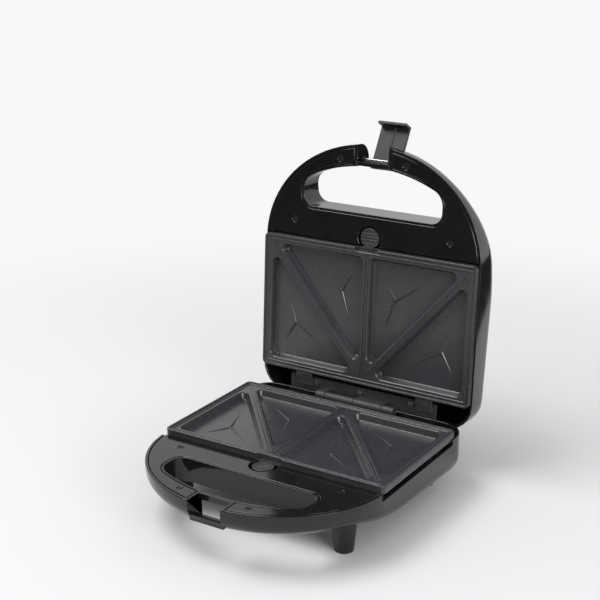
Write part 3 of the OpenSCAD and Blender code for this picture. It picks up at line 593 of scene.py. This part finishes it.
def finish_mesh(
    mesh: BMesh, name: str, place: Callable[[Point3], Vector], crisp_degrees: float
) -> Object:
    """Cleans a mesh, puts it in place and makes it an object.

    Args:
        mesh: The mesh in its half's millimetres. It is freed.
        name: The new object's name.
        place: Takes each point to the frame's metres.
        crisp_degrees: Edges that turn more than this stay crisp.

    Returns:
        The new object, in the scene.
    """
    bmesh.ops.remove_doubles(mesh, verts=mesh.verts, dist=SAME_POINT_MM)
    for vertex in mesh.verts:
        vertex.co = place(tuple(vertex.co))
    bmesh.ops.recalc_face_normals(mesh, faces=mesh.faces)
    return to_object(mesh, name, crisp_degrees)


def arc(centre: Point2, radius: float, start: float, end: float, steps: int) -> list[Point2]:
    """Gives points on an arc, its angles in degrees."""
    turns = [math.radians(start + (end - start) * i / steps) for i in range(steps + 1)]
    return [(centre[0] + radius * math.cos(a), centre[1] + radius * math.sin(a)) for a in turns]


# ---- cooking plates


@dataclass(frozen=True)
class Pocket:
    """One triangular pocket: its right-angled corner and the way its two legs run."""

    corner: Point2
    way_x: int
    way_y: int

    def at(self, u: float, v: float) -> Point2:
        """Takes a point from the pocket's corner along its legs to the plate."""
        return (self.corner[0] + self.way_x * u, self.corner[1] + self.way_y * v)


@dataclass
class CookingPlate:
    """One pressed plate with two squares, each cut to triangles by a diagonal rib.

    Its sizes are in millimetres. Heights are from the half's rim plane.
    """

    shell: Clamshell
    half: Half
    width: float = 220.0
    depth: float = 130.0
    corner_r: float = 4.5
    least_corner_r: float = 0.4
    flange_h: float = 7.0
    plateau: float = -1.3
    core_low: float = -10.5
    core_inset: float = 6.0
    notch_half_w: float = 12.0
    notch_d: float = 3.5
    ledge: float = -6.1
    pocket_inset: float = 8.2
    rib_w: float = 7.0
    pocket_depth: float = 6.4
    # Corner radius that the straight sides are worked out from, then the mouth's own, and
    # how much smaller the floor's is
    pocket_corner_r: float = 5.5
    pocket_mouth_r: float = 5.8
    pocket_slope: float = 3.3
    pocket_steps: int = 8
    bead_w: float = 1.3
    bead_h: float = 0.7
    bead_inset: float = 4.8
    bead_pitch: float = 2.8
    bead_lead: float = 3.0
    bead_steps: int = 6
    mark_h: float = 1.0
    mark_half_w: float = 1.6
    mark_peak_shift: float = 0.4
    # How wide and how high an arm's tip is, as shares of the mark's middle
    mark_tip_w: float = 0.12
    mark_tip_h: float = 0.3
    # How deep a bead's or a mark's foot is sunk in the metal
    sunk: float = 0.2
    lug_x: float = 64.0
    lug_y: float = 1.3
    lug_z: float = -5.6
    lug_size: Point3 = (14.0, 6.6, 2.0)
    arc_steps: int = 10
    crisp_degrees: float = 28.0

    # Set-in and height of the rim's rounded section, from its outer foot to its inner foot
    RIM_SECTION = (
        (0.0, -1.6), (0.0, -0.6), (0.14, -0.22), (0.45, 0.0),
        (1.45, 0.0), (1.85, -0.2), (2.15, -0.7), (2.4, -1.6),
    )  # fmt: skip
    # The mark's three arms, from its middle along the pocket's legs
    MARK_ARMS = ((-11.5, -19.0), (-8.5, 25.5), (28.5, -18.0))
    # Each mark's middle, from its pocket's corner along the legs
    MARK_MIDDLES = {Half.BASE: (30.5, 36.5), Half.LID: (24.5, 37.0)}
    # Each half's pockets from left to right: side, whether its corner is the outer one,
    # and whether it is a rear one. Lower ribs run alike, and upper ribs meet at the hinge.
    POCKETS = {
        Half.BASE: ((-1, True, False), (-1, False, True), (1, False, False), (1, True, True)),
        Half.LID: ((-1, True, True), (-1, False, False), (1, False, False), (1, True, True)),
    }

    def pockets(self) -> list[Pocket]:
        """Gives the plate's four pockets."""
        return [self.pocket(*kind) for kind in self.POCKETS[self.half]]

    def pocket(self, side: int, outer: bool, rear: bool) -> Pocket:
        """Gives one pocket, by where its right-angled corner is.

        Args:
            side: -1 for the left square and 1 for the right one.
            outer: Whether the corner is away from the plate's middle.
            rear: Whether the corner is toward the hinge.

        Returns:
            The pocket.
        """
        x = self.width / 2 - self.pocket_inset if outer else self.rib_w / 2
        y = -self.pocket_inset if rear else self.pocket_inset - self.depth
        return Pocket((side * x, y), -side if outer else side, -1 if rear else 1)

    def open_outline(self, inset: float) -> list[Point2]:
        """Gives the outline from the notch's right side round to its left side.

        Args:
            inset: How far the outline is set in from the plate's edge.

        Returns:
            The outline's points.
        """
        half_w, radius = self.width / 2 - inset, max(self.corner_r - inset, self.least_corner_r)
        front, rear = inset - self.depth, -inset
        x, low, high = half_w - radius, front + radius, rear - radius
        points = [(self.notch_half_w, front)]
        points += arc((x, low), radius, -90, 0, self.arc_steps)
        points += arc((x, high), radius, 0, 90, self.arc_steps)
        points += arc((-x, high), radius, 90, 180, self.arc_steps)
        points += arc((-x, low), radius, 180, 270, self.arc_steps)
        return [*points, (-self.notch_half_w, front)]

    def loop(self, inset: float, z: float, notched: bool) -> list[Point3]:
        """Gives the whole outline at a height.

        Args:
            inset: How far the outline is set in from the plate's edge.
            z: The height.
            notched: Whether it has the notch for the latch.

        Returns:
            The loop's points.
        """
        back = (self.notch_d if notched else inset) - self.depth
        outline = [*self.open_outline(inset), (-self.notch_half_w, back), (self.notch_half_w, back)]
        return [(x, y, z) for x, y in outline]

    def pocket_loop(self, pocket: Pocket, radius: float, z: float) -> list[Point3]:
        """Gives a pocket's rounded triangle at a height.

        Args:
            pocket: Which pocket.
            radius: Corner radius there, which also sets how wide the triangle is.
            z: The height.

        Returns:
            The loop, three arcs joined by straight sides.
        """
        across = self.width / 2 - self.pocket_inset - self.rib_w / 2
        along = self.depth - 2 * self.pocket_inset
        diagonal = math.hypot(across, along)
        leg_x = across - self.rib_w / 2 * diagonal / along
        leg_y = along - self.rib_w / 2 * diagonal / across
        in_r = (leg_x + leg_y - math.hypot(leg_x, leg_y)) / 2
        shrink = (in_r - self.pocket_corner_r) / in_r
        corners = [(0.0, 0.0), (leg_x, 0.0), (0.0, leg_y)]
        middles = [(in_r + (u - in_r) * shrink, in_r + (v - in_r) * shrink) for u, v in corners]
        slope = math.degrees(math.atan2(leg_x, leg_y))
        spans = [(180, 270), (270, 360 + slope), (slope, 180)]
        points: list[Point3] = []
        for middle, (start, end) in zip(middles, spans):
            for u, v in arc(middle, radius, start, end, self.arc_steps):
                points.append((*pocket.at(u, v), z))
        return points

    def add_body(self, mesh: BMesh) -> None:
        """Adds the pressed body: its flat top, its pockets, its flange and its core.

        Args:
            mesh: The mesh that takes it.
        """
        rows = [
            self.loop(0, self.plateau, True),
            self.loop(0, self.ledge, True),
            self.loop(0, self.ledge, False),
            self.loop(0, -self.flange_h, False),
            self.loop(self.core_inset, -self.flange_h, False),
            self.loop(self.core_inset, self.core_low, False),
        ]
        made = skin(mesh, rows)
        mesh.faces.new(made[-1])
        edges = self.ring_edges(mesh, made[0])
        for pocket in self.pockets():
            rings = []
            for i in range(self.pocket_steps + 1):
                t = i / self.pocket_steps
                # A smooth step: level at the mouth and at the floor, steep between them
                z = self.plateau - self.pocket_depth * t * t * (3 - 2 * t)
                radius = self.pocket_mouth_r - self.pocket_slope * t
                rings.append(self.pocket_loop(pocket, radius, z))
            walls = skin(mesh, rings)
            mesh.faces.new(walls[-1])
            edges += self.ring_edges(mesh, walls[0])
        bmesh.ops.triangle_fill(mesh, use_beauty=True, edges=edges)

    def ring_edges(self, mesh: BMesh, ring: list[BMVert]) -> list[BMEdge]:
        """Gives the edges between neighbours of a ring of vertices."""
        pairs = zip(ring, ring[1:] + ring[:1])
        return [mesh.edges.get(pair) or mesh.edges.new(pair) for pair in pairs]

    def add_rim(self, mesh: BMesh) -> None:
        """Adds the rounded rim round the edge, open at the notch.

        Args:
            mesh: The mesh that takes it.
        """
        sections = [self.open_outline(inset) for inset, _ in self.RIM_SECTION]
        heights = [height for _, height in self.RIM_SECTION]
        rows = []
        for i in range(len(sections[0])):
            rows.append([(*section[i], z) for section, z in zip(sections, heights)])
        skin_capped(mesh, rows)

    def bead_section(self, middle: Point2, side: Point2) -> list[Point3]:
        """Gives a bead's half-round section.

        Args:
            middle: Where the bead's middle is.
            side: The way across the bead, of length 1.

        Returns:
            The section's points.
        """
        angles = [math.radians(180 * i / self.bead_steps) for i in range(self.bead_steps + 1)]
        foot = self.plateau - self.sunk
        points = [
            (
                middle[0] + side[0] * self.bead_w / 2 * math.cos(t),
                middle[1] + side[1] * self.bead_w / 2 * math.cos(t),
                self.plateau + self.bead_h * math.sin(t),
            )
            for t in angles
        ]
        first, last = points[0], points[-1]
        return [(first[0], first[1], foot), *points, (last[0], last[1], foot)]

    def add_straight_bead(self, mesh: BMesh, a: Vector, b: Vector) -> None:
        """Adds a double bead along a rib.

        Args:
            mesh: The mesh that takes it.
            a: Where the double bead starts.
            b: Where it ends.
        """
        way = (b - a).normalized()
        side = Vector((-way.y, way.x))
        for sign in (-1, 1):
            shift = side * sign * self.bead_pitch / 2
            rows = [self.bead_section(tuple(p + shift), tuple(side)) for p in (a, b)]
            skin_capped(mesh, rows)

    def add_beads(self, mesh: BMesh) -> None:
        """Adds the fine bead round the edge and the double beads on the ribs.

        Args:
            mesh: The mesh that takes them.
        """
        inner = self.loop(self.bead_inset - self.bead_w / 2, 0, False)
        outer = self.loop(self.bead_inset + self.bead_w / 2, 0, False)
        rows = []
        for (ax, ay, _), (bx, by, _) in zip(inner, outer):
            middle = ((ax + bx) / 2, (ay + by) / 2)
            across = Vector((ax - bx, ay - by)) / self.bead_w
            rows.append(self.bead_section(middle, tuple(across)))
        skin(mesh, [*rows, rows[0]])
        low, high = self.pocket_inset - self.depth, -self.pocket_inset
        self.add_straight_bead(mesh, Vector((0, high)), Vector((0, low)))
        edge, rib = self.width / 2 - self.pocket_inset, self.rib_w / 2
        # Two pockets share each diagonal rib, so only the outer one of them gives its beads
        outer_pockets = [p for p in self.pockets() if abs(p.corner[0]) >= self.width / 4]
        for pocket in outer_pockets:
            side = -1 if pocket.corner[0] < 0 else 1
            near, other = (high, low) if pocket.way_y < 0 else (low, high)
            a, b = Vector((side * edge, other)), Vector((side * rib, near))
            lead = (b - a).normalized() * self.bead_lead
            self.add_straight_bead(mesh, a + lead, b - lead)

    def add_marks(self, mesh: BMesh) -> None:
        """Adds the three-armed raised mark on each pocket's floor.

        Args:
            mesh: The mesh that takes them.
        """
        floor = self.plateau - self.pocket_depth
        for pocket in self.pockets():
            middle = Vector(pocket.at(*self.MARK_MIDDLES[self.half]))
            for u, v in self.MARK_ARMS:
                arm = Vector((pocket.way_x * u, pocket.way_y * v))
                across = Vector((-arm.y, arm.x)).normalized() * self.mark_half_w
                tip, tip_across = middle + arm, across * self.mark_tip_w
                peak = middle - arm.normalized() * self.mark_peak_shift
                flat = [middle + across, middle - across, tip - tip_across, tip + tip_across]
                feet = [mesh.verts.new((*p, floor - self.sunk)) for p in flat]
                top = mesh.verts.new((*peak, floor + self.mark_h))
                end = mesh.verts.new((*tip, floor + self.mark_h * self.mark_tip_h))
                mesh.faces.new(feet)
                mesh.faces.new((feet[0], feet[3], end, top))
                mesh.faces.new((feet[1], feet[2], end, top))
                mesh.faces.new((feet[0], feet[1], top))
                mesh.faces.new((feet[2], feet[3], end))

    def add_lugs(self, mesh: BMesh) -> None:
        """Adds the two rear lugs that the clips hold.

        Args:
            mesh: The mesh that takes them.
        """
        for x in (-self.lug_x, self.lug_x):
            middle = Matrix.Translation((x, self.lug_y, self.lug_z))
            matrix = middle @ Matrix.Diagonal((*self.lug_size, 1))
            bmesh.ops.create_cube(mesh, size=1, matrix=matrix)

    def build(self, wardrobe: Wardrobe) -> list[Object]:
        """Builds the plate, dresses it and puts it in place of its node.

        Args:
            wardrobe: Gives the finishes.

        Returns:
            The plate alone, in a list.
        """
        mesh = bmesh.new()
        self.add_body(mesh)
        self.add_rim(mesh)
        self.add_beads(mesh)
        self.add_marks(mesh)
        self.add_lugs(mesh)
        name = f"{self.half.value}_cooking_plate"
        made = finish_mesh(
            mesh, name, lambda p: self.shell.place(self.half, p), self.crisp_degrees
        )
        made.data.materials.append(wardrobe.for_slot("nonstick_plate"))
        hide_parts(f"{self.half.value}_plate")
        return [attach(made, self.half.value)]


# ---- moulded pieces


@dataclass
class MouldedPieces:
    """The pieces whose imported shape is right, given moulded edges and smooth skins.

    Each is a copy of its node's shape, cleaned of its seams, with its crisp edges
    rounded as a moulding's are. A shell has so many ribs and steps inside that only the
    edges at its rims are rounded, where they show. A rim is 0.9 mm wide at its narrowest,
    so its two edges take less than half of that each.
    """

    shell: Clamshell
    edges_mm: dict[str, float] = field(
        default_factory=lambda: {
            "base_shell": 0.4, "lid_shell": 0.4, "base_panel": 0.6, "lid_panel": 0.6,
            "base_release_button": 0.3, "lid_release_button": 0.3, "latch": 0.35,
            "base_hinge_bracket": 0.25, "lid_hinge_bracket": 0.25,
        }
    )
    # How far below its half's rim plane each of a shell's rims is
    rim_depths_mm: tuple[float, ...] = (5.0, 6.5, 11.2)
    rim_slack_mm: float = 0.02
    shortest_edge_mm: float = 0.3
    seam_mm: float = 0.002
    flat_degrees: float = 0.4
    crisp_degrees: float = 40.0
    round_steps: int = 2

    def body_of(self, node: str) -> str:
        """Gives the body that a node rides on."""
        bodies = frame["record"]["behaviour"]["bodies"]
        return next(body for body, nodes in bodies.items() if node in nodes)

    def slot_of(self, node: str) -> str:
        """Gives the record's material slot of a node."""
        parts = frame["record"]["subparts"]
        return next(part["material_slot"] for part in parts if part["node"] == node)

    def at_rim(self, node: str, point: Vector) -> bool:
        """Tells whether a point of a shell is at one of its rims.

        Args:
            node: The shell's name.
            point: The point in the frame, in metres.

        Returns:
            True at a rim.
        """
        half = Half.BASE if node.startswith("base") else Half.LID
        origin = self.shell.place(half, (0.0, 0.0, 0.0))
        down = (origin - self.shell.place(half, (0.0, 0.0, 1.0))) / MM
        depth = (point - origin).dot(down) / MM
        return any(abs(depth - rim) < self.rim_slack_mm for rim in self.rim_depths_mm)

    def mark_edges(self, mesh: BMesh, node: str) -> None:
        """Marks the edges of a piece that its moulding rounds.

        Args:
            mesh: The piece's mesh, in the frame's metres.
            node: The name of the node that it is a copy of.
        """
        layer = mesh.edges.layers.float.new("bevel_weight_edge")
        only_rims = node.endswith("shell")
        for edge in mesh.edges:
            crisp = edge.calc_face_angle(0.0) > math.radians(self.crisp_degrees)
            long = edge.calc_length() > self.shortest_edge_mm * MM
            shown = not only_rims or all(self.at_rim(node, v.co) for v in edge.verts)
            edge[layer] = 1.0 if crisp and long and shown else 0.0

    def soften(self, node: str, width_mm: float) -> Object:
        """Makes the smooth copy of one node.

        Args:
            node: The node's name.
            width_mm: How far its edges are rounded.

        Returns:
            The copy, in the scene.
        """
        mesh = bmesh.new()
        mesh.from_mesh(frame["nodes"][node].data)
        bmesh.ops.remove_doubles(mesh, verts=mesh.verts, dist=self.seam_mm * MM)
        flat = math.radians(self.flat_degrees)
        bmesh.ops.dissolve_limit(mesh, angle_limit=flat, verts=mesh.verts, edges=mesh.edges)
        self.mark_edges(mesh, node)
        made = to_object(mesh, f"{node}_moulding", self.crisp_degrees)
        rounding = made.modifiers.new("moulded_edges", "BEVEL")
        rounding.width = width_mm * MM
        rounding.segments = self.round_steps
        rounding.limit_method = "WEIGHT"
        rounding.use_clamp_overlap = False
        return made

    def build(self, wardrobe: Wardrobe) -> list[Object]:
        """Builds every moulding and puts it in place of its node.

        Args:
            wardrobe: Gives the finishes.

        Returns:
            The mouldings.
        """
        made = []
        for node, width_mm in self.edges_mm.items():
            piece = self.soften(node, width_mm)
            slot = self.slot_of(node)
            piece.data.materials.append(wardrobe.for_slot(slot))
            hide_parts(node)
            made.append(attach(piece, self.body_of(node)))
        return made


# ---- springs and the rest


@dataclass
class ButtonSpring:
    """The coil spring behind one release button, which its slide presses shorter."""

    half: Half
    wire_r: float = 0.26 * MM
    turns: float = 7.0
    travel: float = 2.2 * MM
    # How many wire radii the coil is shorter than its node
    end_wires: float = 3.0
    steps_per_turn: int = 20
    section_steps: int = 8
    crisp_degrees: float = 50.0

    def build(self, wardrobe: Wardrobe) -> list[Object]:
        """Winds the spring between its node's two ends.

        Args:
            wardrobe: Gives the finishes.

        Returns:
            The spring alone, in a list.
        """
        node = f"{self.half.value}_button_spring"
        low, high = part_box(node)
        joint = next(j for j in frame["joints"] if j["name"] == f"{self.half.value}_release_slide")
        axis = Vector(joint["axis"]).normalized()
        middle = (low + high) / 2
        side = Vector((1, 0, 0))
        up = axis.cross(side)
        radius = (high.x - low.x) / 2 - self.wire_r
        length = max((high - low).y, (high - low).z) - self.end_wires * self.wire_r
        count = int(self.turns * self.steps_per_turn)
        ring = [math.tau * k / self.section_steps for k in range(self.section_steps)]
        rows = []
        for i in range(count + 1):
            turn = math.tau * i / self.steps_per_turn
            out = side * math.cos(turn) + up * math.sin(turn)
            centre = middle + axis * length * (i / count - 0.5) + out * radius
            rows.append(
                [centre + (out * math.cos(t) + axis * math.sin(t)) * self.wire_r for t in ring]
            )
        mesh = bmesh.new()
        skin_capped(mesh, rows)
        bmesh.ops.recalc_face_normals(mesh, faces=mesh.faces)
        made = to_object(mesh, f"{self.half.value}_coil_spring", self.crisp_degrees)
        made.data.materials.append(wardrobe.for_slot("steel"))
        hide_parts(node)
        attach(made, self.half.value)
        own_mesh(made)
        return [made]


@dataclass
class PlainNodes:
    """The nodes that are shown as packed, each dressed in its slot's finish."""

    def build(self, wardrobe: Wardrobe) -> list[Object]:
        """Dresses every node that nothing has replaced.

        Args:
            wardrobe: Gives the finishes.

        Returns:
            The nodes.
        """
        made = []
        for part in frame["record"]["subparts"]:
            piece = frame["nodes"][part["node"]]
            if piece.hide_render:
                continue
            material = wardrobe.for_slot(part["material_slot"])
            if not piece.material_slots:
                piece.data.materials.append(material)
            for held in piece.material_slots:
                held.link = "OBJECT"
                held.material = material
            made.append(piece)
        return made


# ---- studio and camera


@dataclass(frozen=True)
class Softbox:
    """One softbox: its power in watts, and its width, height and place in metres."""

    name: str
    power: float
    width: float
    height: float
    at: Point3


@dataclass
class Studio:
    """A pale table under a soft light, with dark cards that only gloss can see.

    The table's paint fades to white from near_edge to far_edge, in metres from its
    middle. The walls fade to the ceiling between two heights of a ray's direction, where
    level is 0 and straight up is 1.
    """

    white: str = "#f8f8fa"
    table_paint: str = "#bebec0"
    table_half: float = 4.0
    near_edge: float = 0.3
    far_edge: float = 0.9
    ambient: float = 0.95
    ceiling: float = 0.12
    ceiling_from: float = 0.4
    ceiling_full: float = 0.7
    softboxes: tuple[Softbox, ...] = (
        Softbox("overhead_softbox", 18.0, 0.9, 0.7, (-0.5, -0.34, 1.35)),
        Softbox("right_softbox", 9.0, 0.5, 0.6, (1.15, -0.55, 0.42)),
    )
    # Each dark card: its name and two opposite corners, the lowest 2 mm over the table
    dark_cards: tuple[tuple[str, Point3, Point3], ...] = (
        ("front_card", (-2.0, -0.6, 0.002), (0.3, -0.6, 1.2)),
        ("right_card", (0.245, -0.4, 0.002), (0.49, 1.6, 0.002)),
    )

    def card(self, name: str, corners: Sequence[Point3], material: Material) -> Object:
        """Adds one flat four-cornered card that isn't part of the object.

        Args:
            name: The new object's name.
            corners: Its four corners in turn.
            material: Its finish.

        Returns:
            The card, in the scene.
        """
        data = bpy.data.meshes.new(name)
        data.from_pydata(corners, [], [(0, 1, 2, 3)])
        data.materials.append(material)
        made = add_object(name, data)
        return made

    def seen_rays(self, tree: NodeTree) -> NodeSocket:
        """Tells which rays see the background.

        Args:
            tree: The nodes that need it.

        Returns:
            1 for rays from the camera, from gloss and through lenses, else 0.
        """
        rays = add_node(tree, "ShaderNodeLightPath").outputs
        seen = rays["Is Camera Ray"]
        for kind in ("Is Glossy Ray", "Is Transmission Ray"):
            inputs = {0: seen, 1: rays[kind]}
            seen = add_node(tree, "ShaderNodeMath", {"operation": "MAXIMUM"}, inputs).outputs[0]
        return seen

    def table_material(self) -> Material:
        """Builds the table's paint, which fades into the white of the background.

        Returns:
            The material, with its nodes linked.
        """
        made = bpy.data.materials.new("studio_table")
        made.use_nodes = True
        tree = made.node_tree
        tree.nodes.clear()
        place = add_node(tree, "ShaderNodeTexCoord").outputs["Object"]
        length = add_node(tree, "ShaderNodeVectorMath", {"operation": "LENGTH"}, {0: place})
        distance = add_node(
            tree,
            "ShaderNodeMapRange",
            {"interpolation_type": "SMOOTHSTEP"},
            {
                "Value": length.outputs["Value"],
                "From Min": self.near_edge,
                "From Max": self.far_edge,
            },
        )
        share = add_node(
            tree,
            "ShaderNodeMath",
            {"operation": "MULTIPLY"},
            {0: distance.outputs[0], 1: self.seen_rays(tree)},
        )
        paint = add_node(tree, "ShaderNodeBsdfDiffuse", inputs={"Color": linear(self.table_paint)})
        glow = add_node(tree, "ShaderNodeEmission", inputs={"Color": linear(self.white)})
        mix = add_node(
            tree,
            "ShaderNodeMixShader",
            inputs={0: share.outputs[0], 1: paint.outputs[0], 2: glow.outputs[0]},
        )
        add_node(tree, "ShaderNodeOutputMaterial", inputs={"Surface": mix.outputs[0]})
        return made

    def build_world(self) -> None:
        """Sets the room's even light, and what is seen: white walls under a dark ceiling."""
        world = bpy.data.worlds.new("studio_room")
        world.use_nodes = True
        tree = world.node_tree
        tree.nodes.clear()
        inputs = {"Color": linear("#ffffff"), "Strength": self.ambient}
        light = add_node(tree, "ShaderNodeBackground", inputs=inputs)
        direction = add_node(tree, "ShaderNodeTexCoord").outputs["Generated"]
        height = add_node(tree, "ShaderNodeSeparateXYZ", inputs={0: direction}).outputs["Z"]
        walls = add_node(
            tree,
            "ShaderNodeMapRange",
            {"interpolation_type": "SMOOTHSTEP"},
            {
                "Value": height,
                "From Min": self.ceiling_from,
                "From Max": self.ceiling_full,
                "To Min": 1.0,
                "To Max": self.ceiling,
            },
        )
        seen = add_node(
            tree,
            "ShaderNodeBackground",
            inputs={"Color": linear(self.white), "Strength": walls.outputs["Result"]},
        )
        mix = add_node(
            tree,
            "ShaderNodeMixShader",
            inputs={0: self.seen_rays(tree), 1: light.outputs[0], 2: seen.outputs[0]},
        )
        add_node(tree, "ShaderNodeOutputWorld", inputs={"Surface": mix.outputs[0]})
        bpy.context.scene.world = world

    def build_cards(self) -> None:
        """Adds the dark cards: one before the toaster and one to its right."""
        dark = Finish("studio_dark_card", "#0b0b0c", "#0f0f10", roughness=0.9).material()
        for name, a, b in self.dark_cards:
            corners = [a, (b[0], a[1], a[2]), b, (a[0], b[1], b[2])]
            made = self.card(name, corners, dark)
            made.visible_camera = made.visible_diffuse = False
            made.visible_shadow = made.visible_transmission = False

    def hang(self, softbox: Softbox) -> None:
        """Hangs one softbox, turned toward the middle of the table.

        Args:
            softbox: Which one.
        """
        lamp = bpy.data.lights.new(softbox.name, "AREA")
        lamp.shape = "RECTANGLE"
        lamp.size, lamp.size_y = softbox.width, softbox.height
        lamp.energy = softbox.power
        turn = Vector(softbox.at).to_track_quat("Z", "Y").to_matrix().to_4x4()
        add_object(softbox.name, lamp).matrix_world = Matrix.Translation(softbox.at) @ turn

    def build(self) -> None:
        """Builds the table, the room, the cards and the softboxes."""
        h = self.table_half
        corners = [(-h, -h, 0), (h, -h, 0), (h, h, 0), (-h, h, 0)]
        self.card("table", corners, self.table_material())
        self.build_world()
        self.build_cards()
        for softbox in self.softboxes:
            self.hang(softbox)


@dataclass
class Viewpoint:
    """The photographer's camera, from its direction and its roll in degrees, and its place."""

    azimuth: float = 32.665
    elevation: float = 18.575
    roll: float = -0.433
    eye: Point3 = (0.5611, -0.88718, 0.52995)
    focal_px: float = 1307.56
    frame_px: float = 600.0
    sensor_mm: float = 36.0

    def build(self) -> None:
        """Makes the camera and hands it to the scene."""
        a, e, r = (math.radians(v) for v in (self.azimuth, self.elevation, self.roll))
        back = Vector((math.sin(a) * math.cos(e), -math.cos(a) * math.cos(e), math.sin(e)))
        right = Vector((math.cos(a), math.sin(a), 0))
        up = back.cross(right)
        right, up = (
            right * math.cos(r) + up * math.sin(r),
            up * math.cos(r) - right * math.sin(r),
        )
        turn = Matrix((right, up, back)).transposed()
        data = bpy.data.cameras.new("photographer")
        data.sensor_width = self.sensor_mm
        data.lens = self.focal_px / self.frame_px * self.sensor_mm
        camera = add_object("photographer", data)
        camera.matrix_world = Matrix.Translation(self.eye) @ turn.to_4x4()
        bpy.context.scene.camera = camera


def main() -> None:
    """Builds the toaster's pieces in order, then the studio, and logs each piece."""
    logging.basicConfig(level=logging.INFO, format="%(name)s: %(message)s")
    bpy.context.scene.view_settings.view_transform = "Standard"
    wardrobe = Wardrobe()
    shell = Clamshell()
    Viewpoint().build()
    sub_assemblies = [
        CookingPlate(shell, Half.BASE),
        CookingPlate(shell, Half.LID),
        ButtonSpring(Half.BASE),
        ButtonSpring(Half.LID),
        MouldedPieces(shell),
        PlainNodes(),
    ]
    for sub_assembly in sub_assemblies:
        for piece in sub_assembly.build(wardrobe):
            log.info("%s: %s", type(sub_assembly).__name__, piece.name)
    Studio().build()


if __name__ == "__main__":
    main()
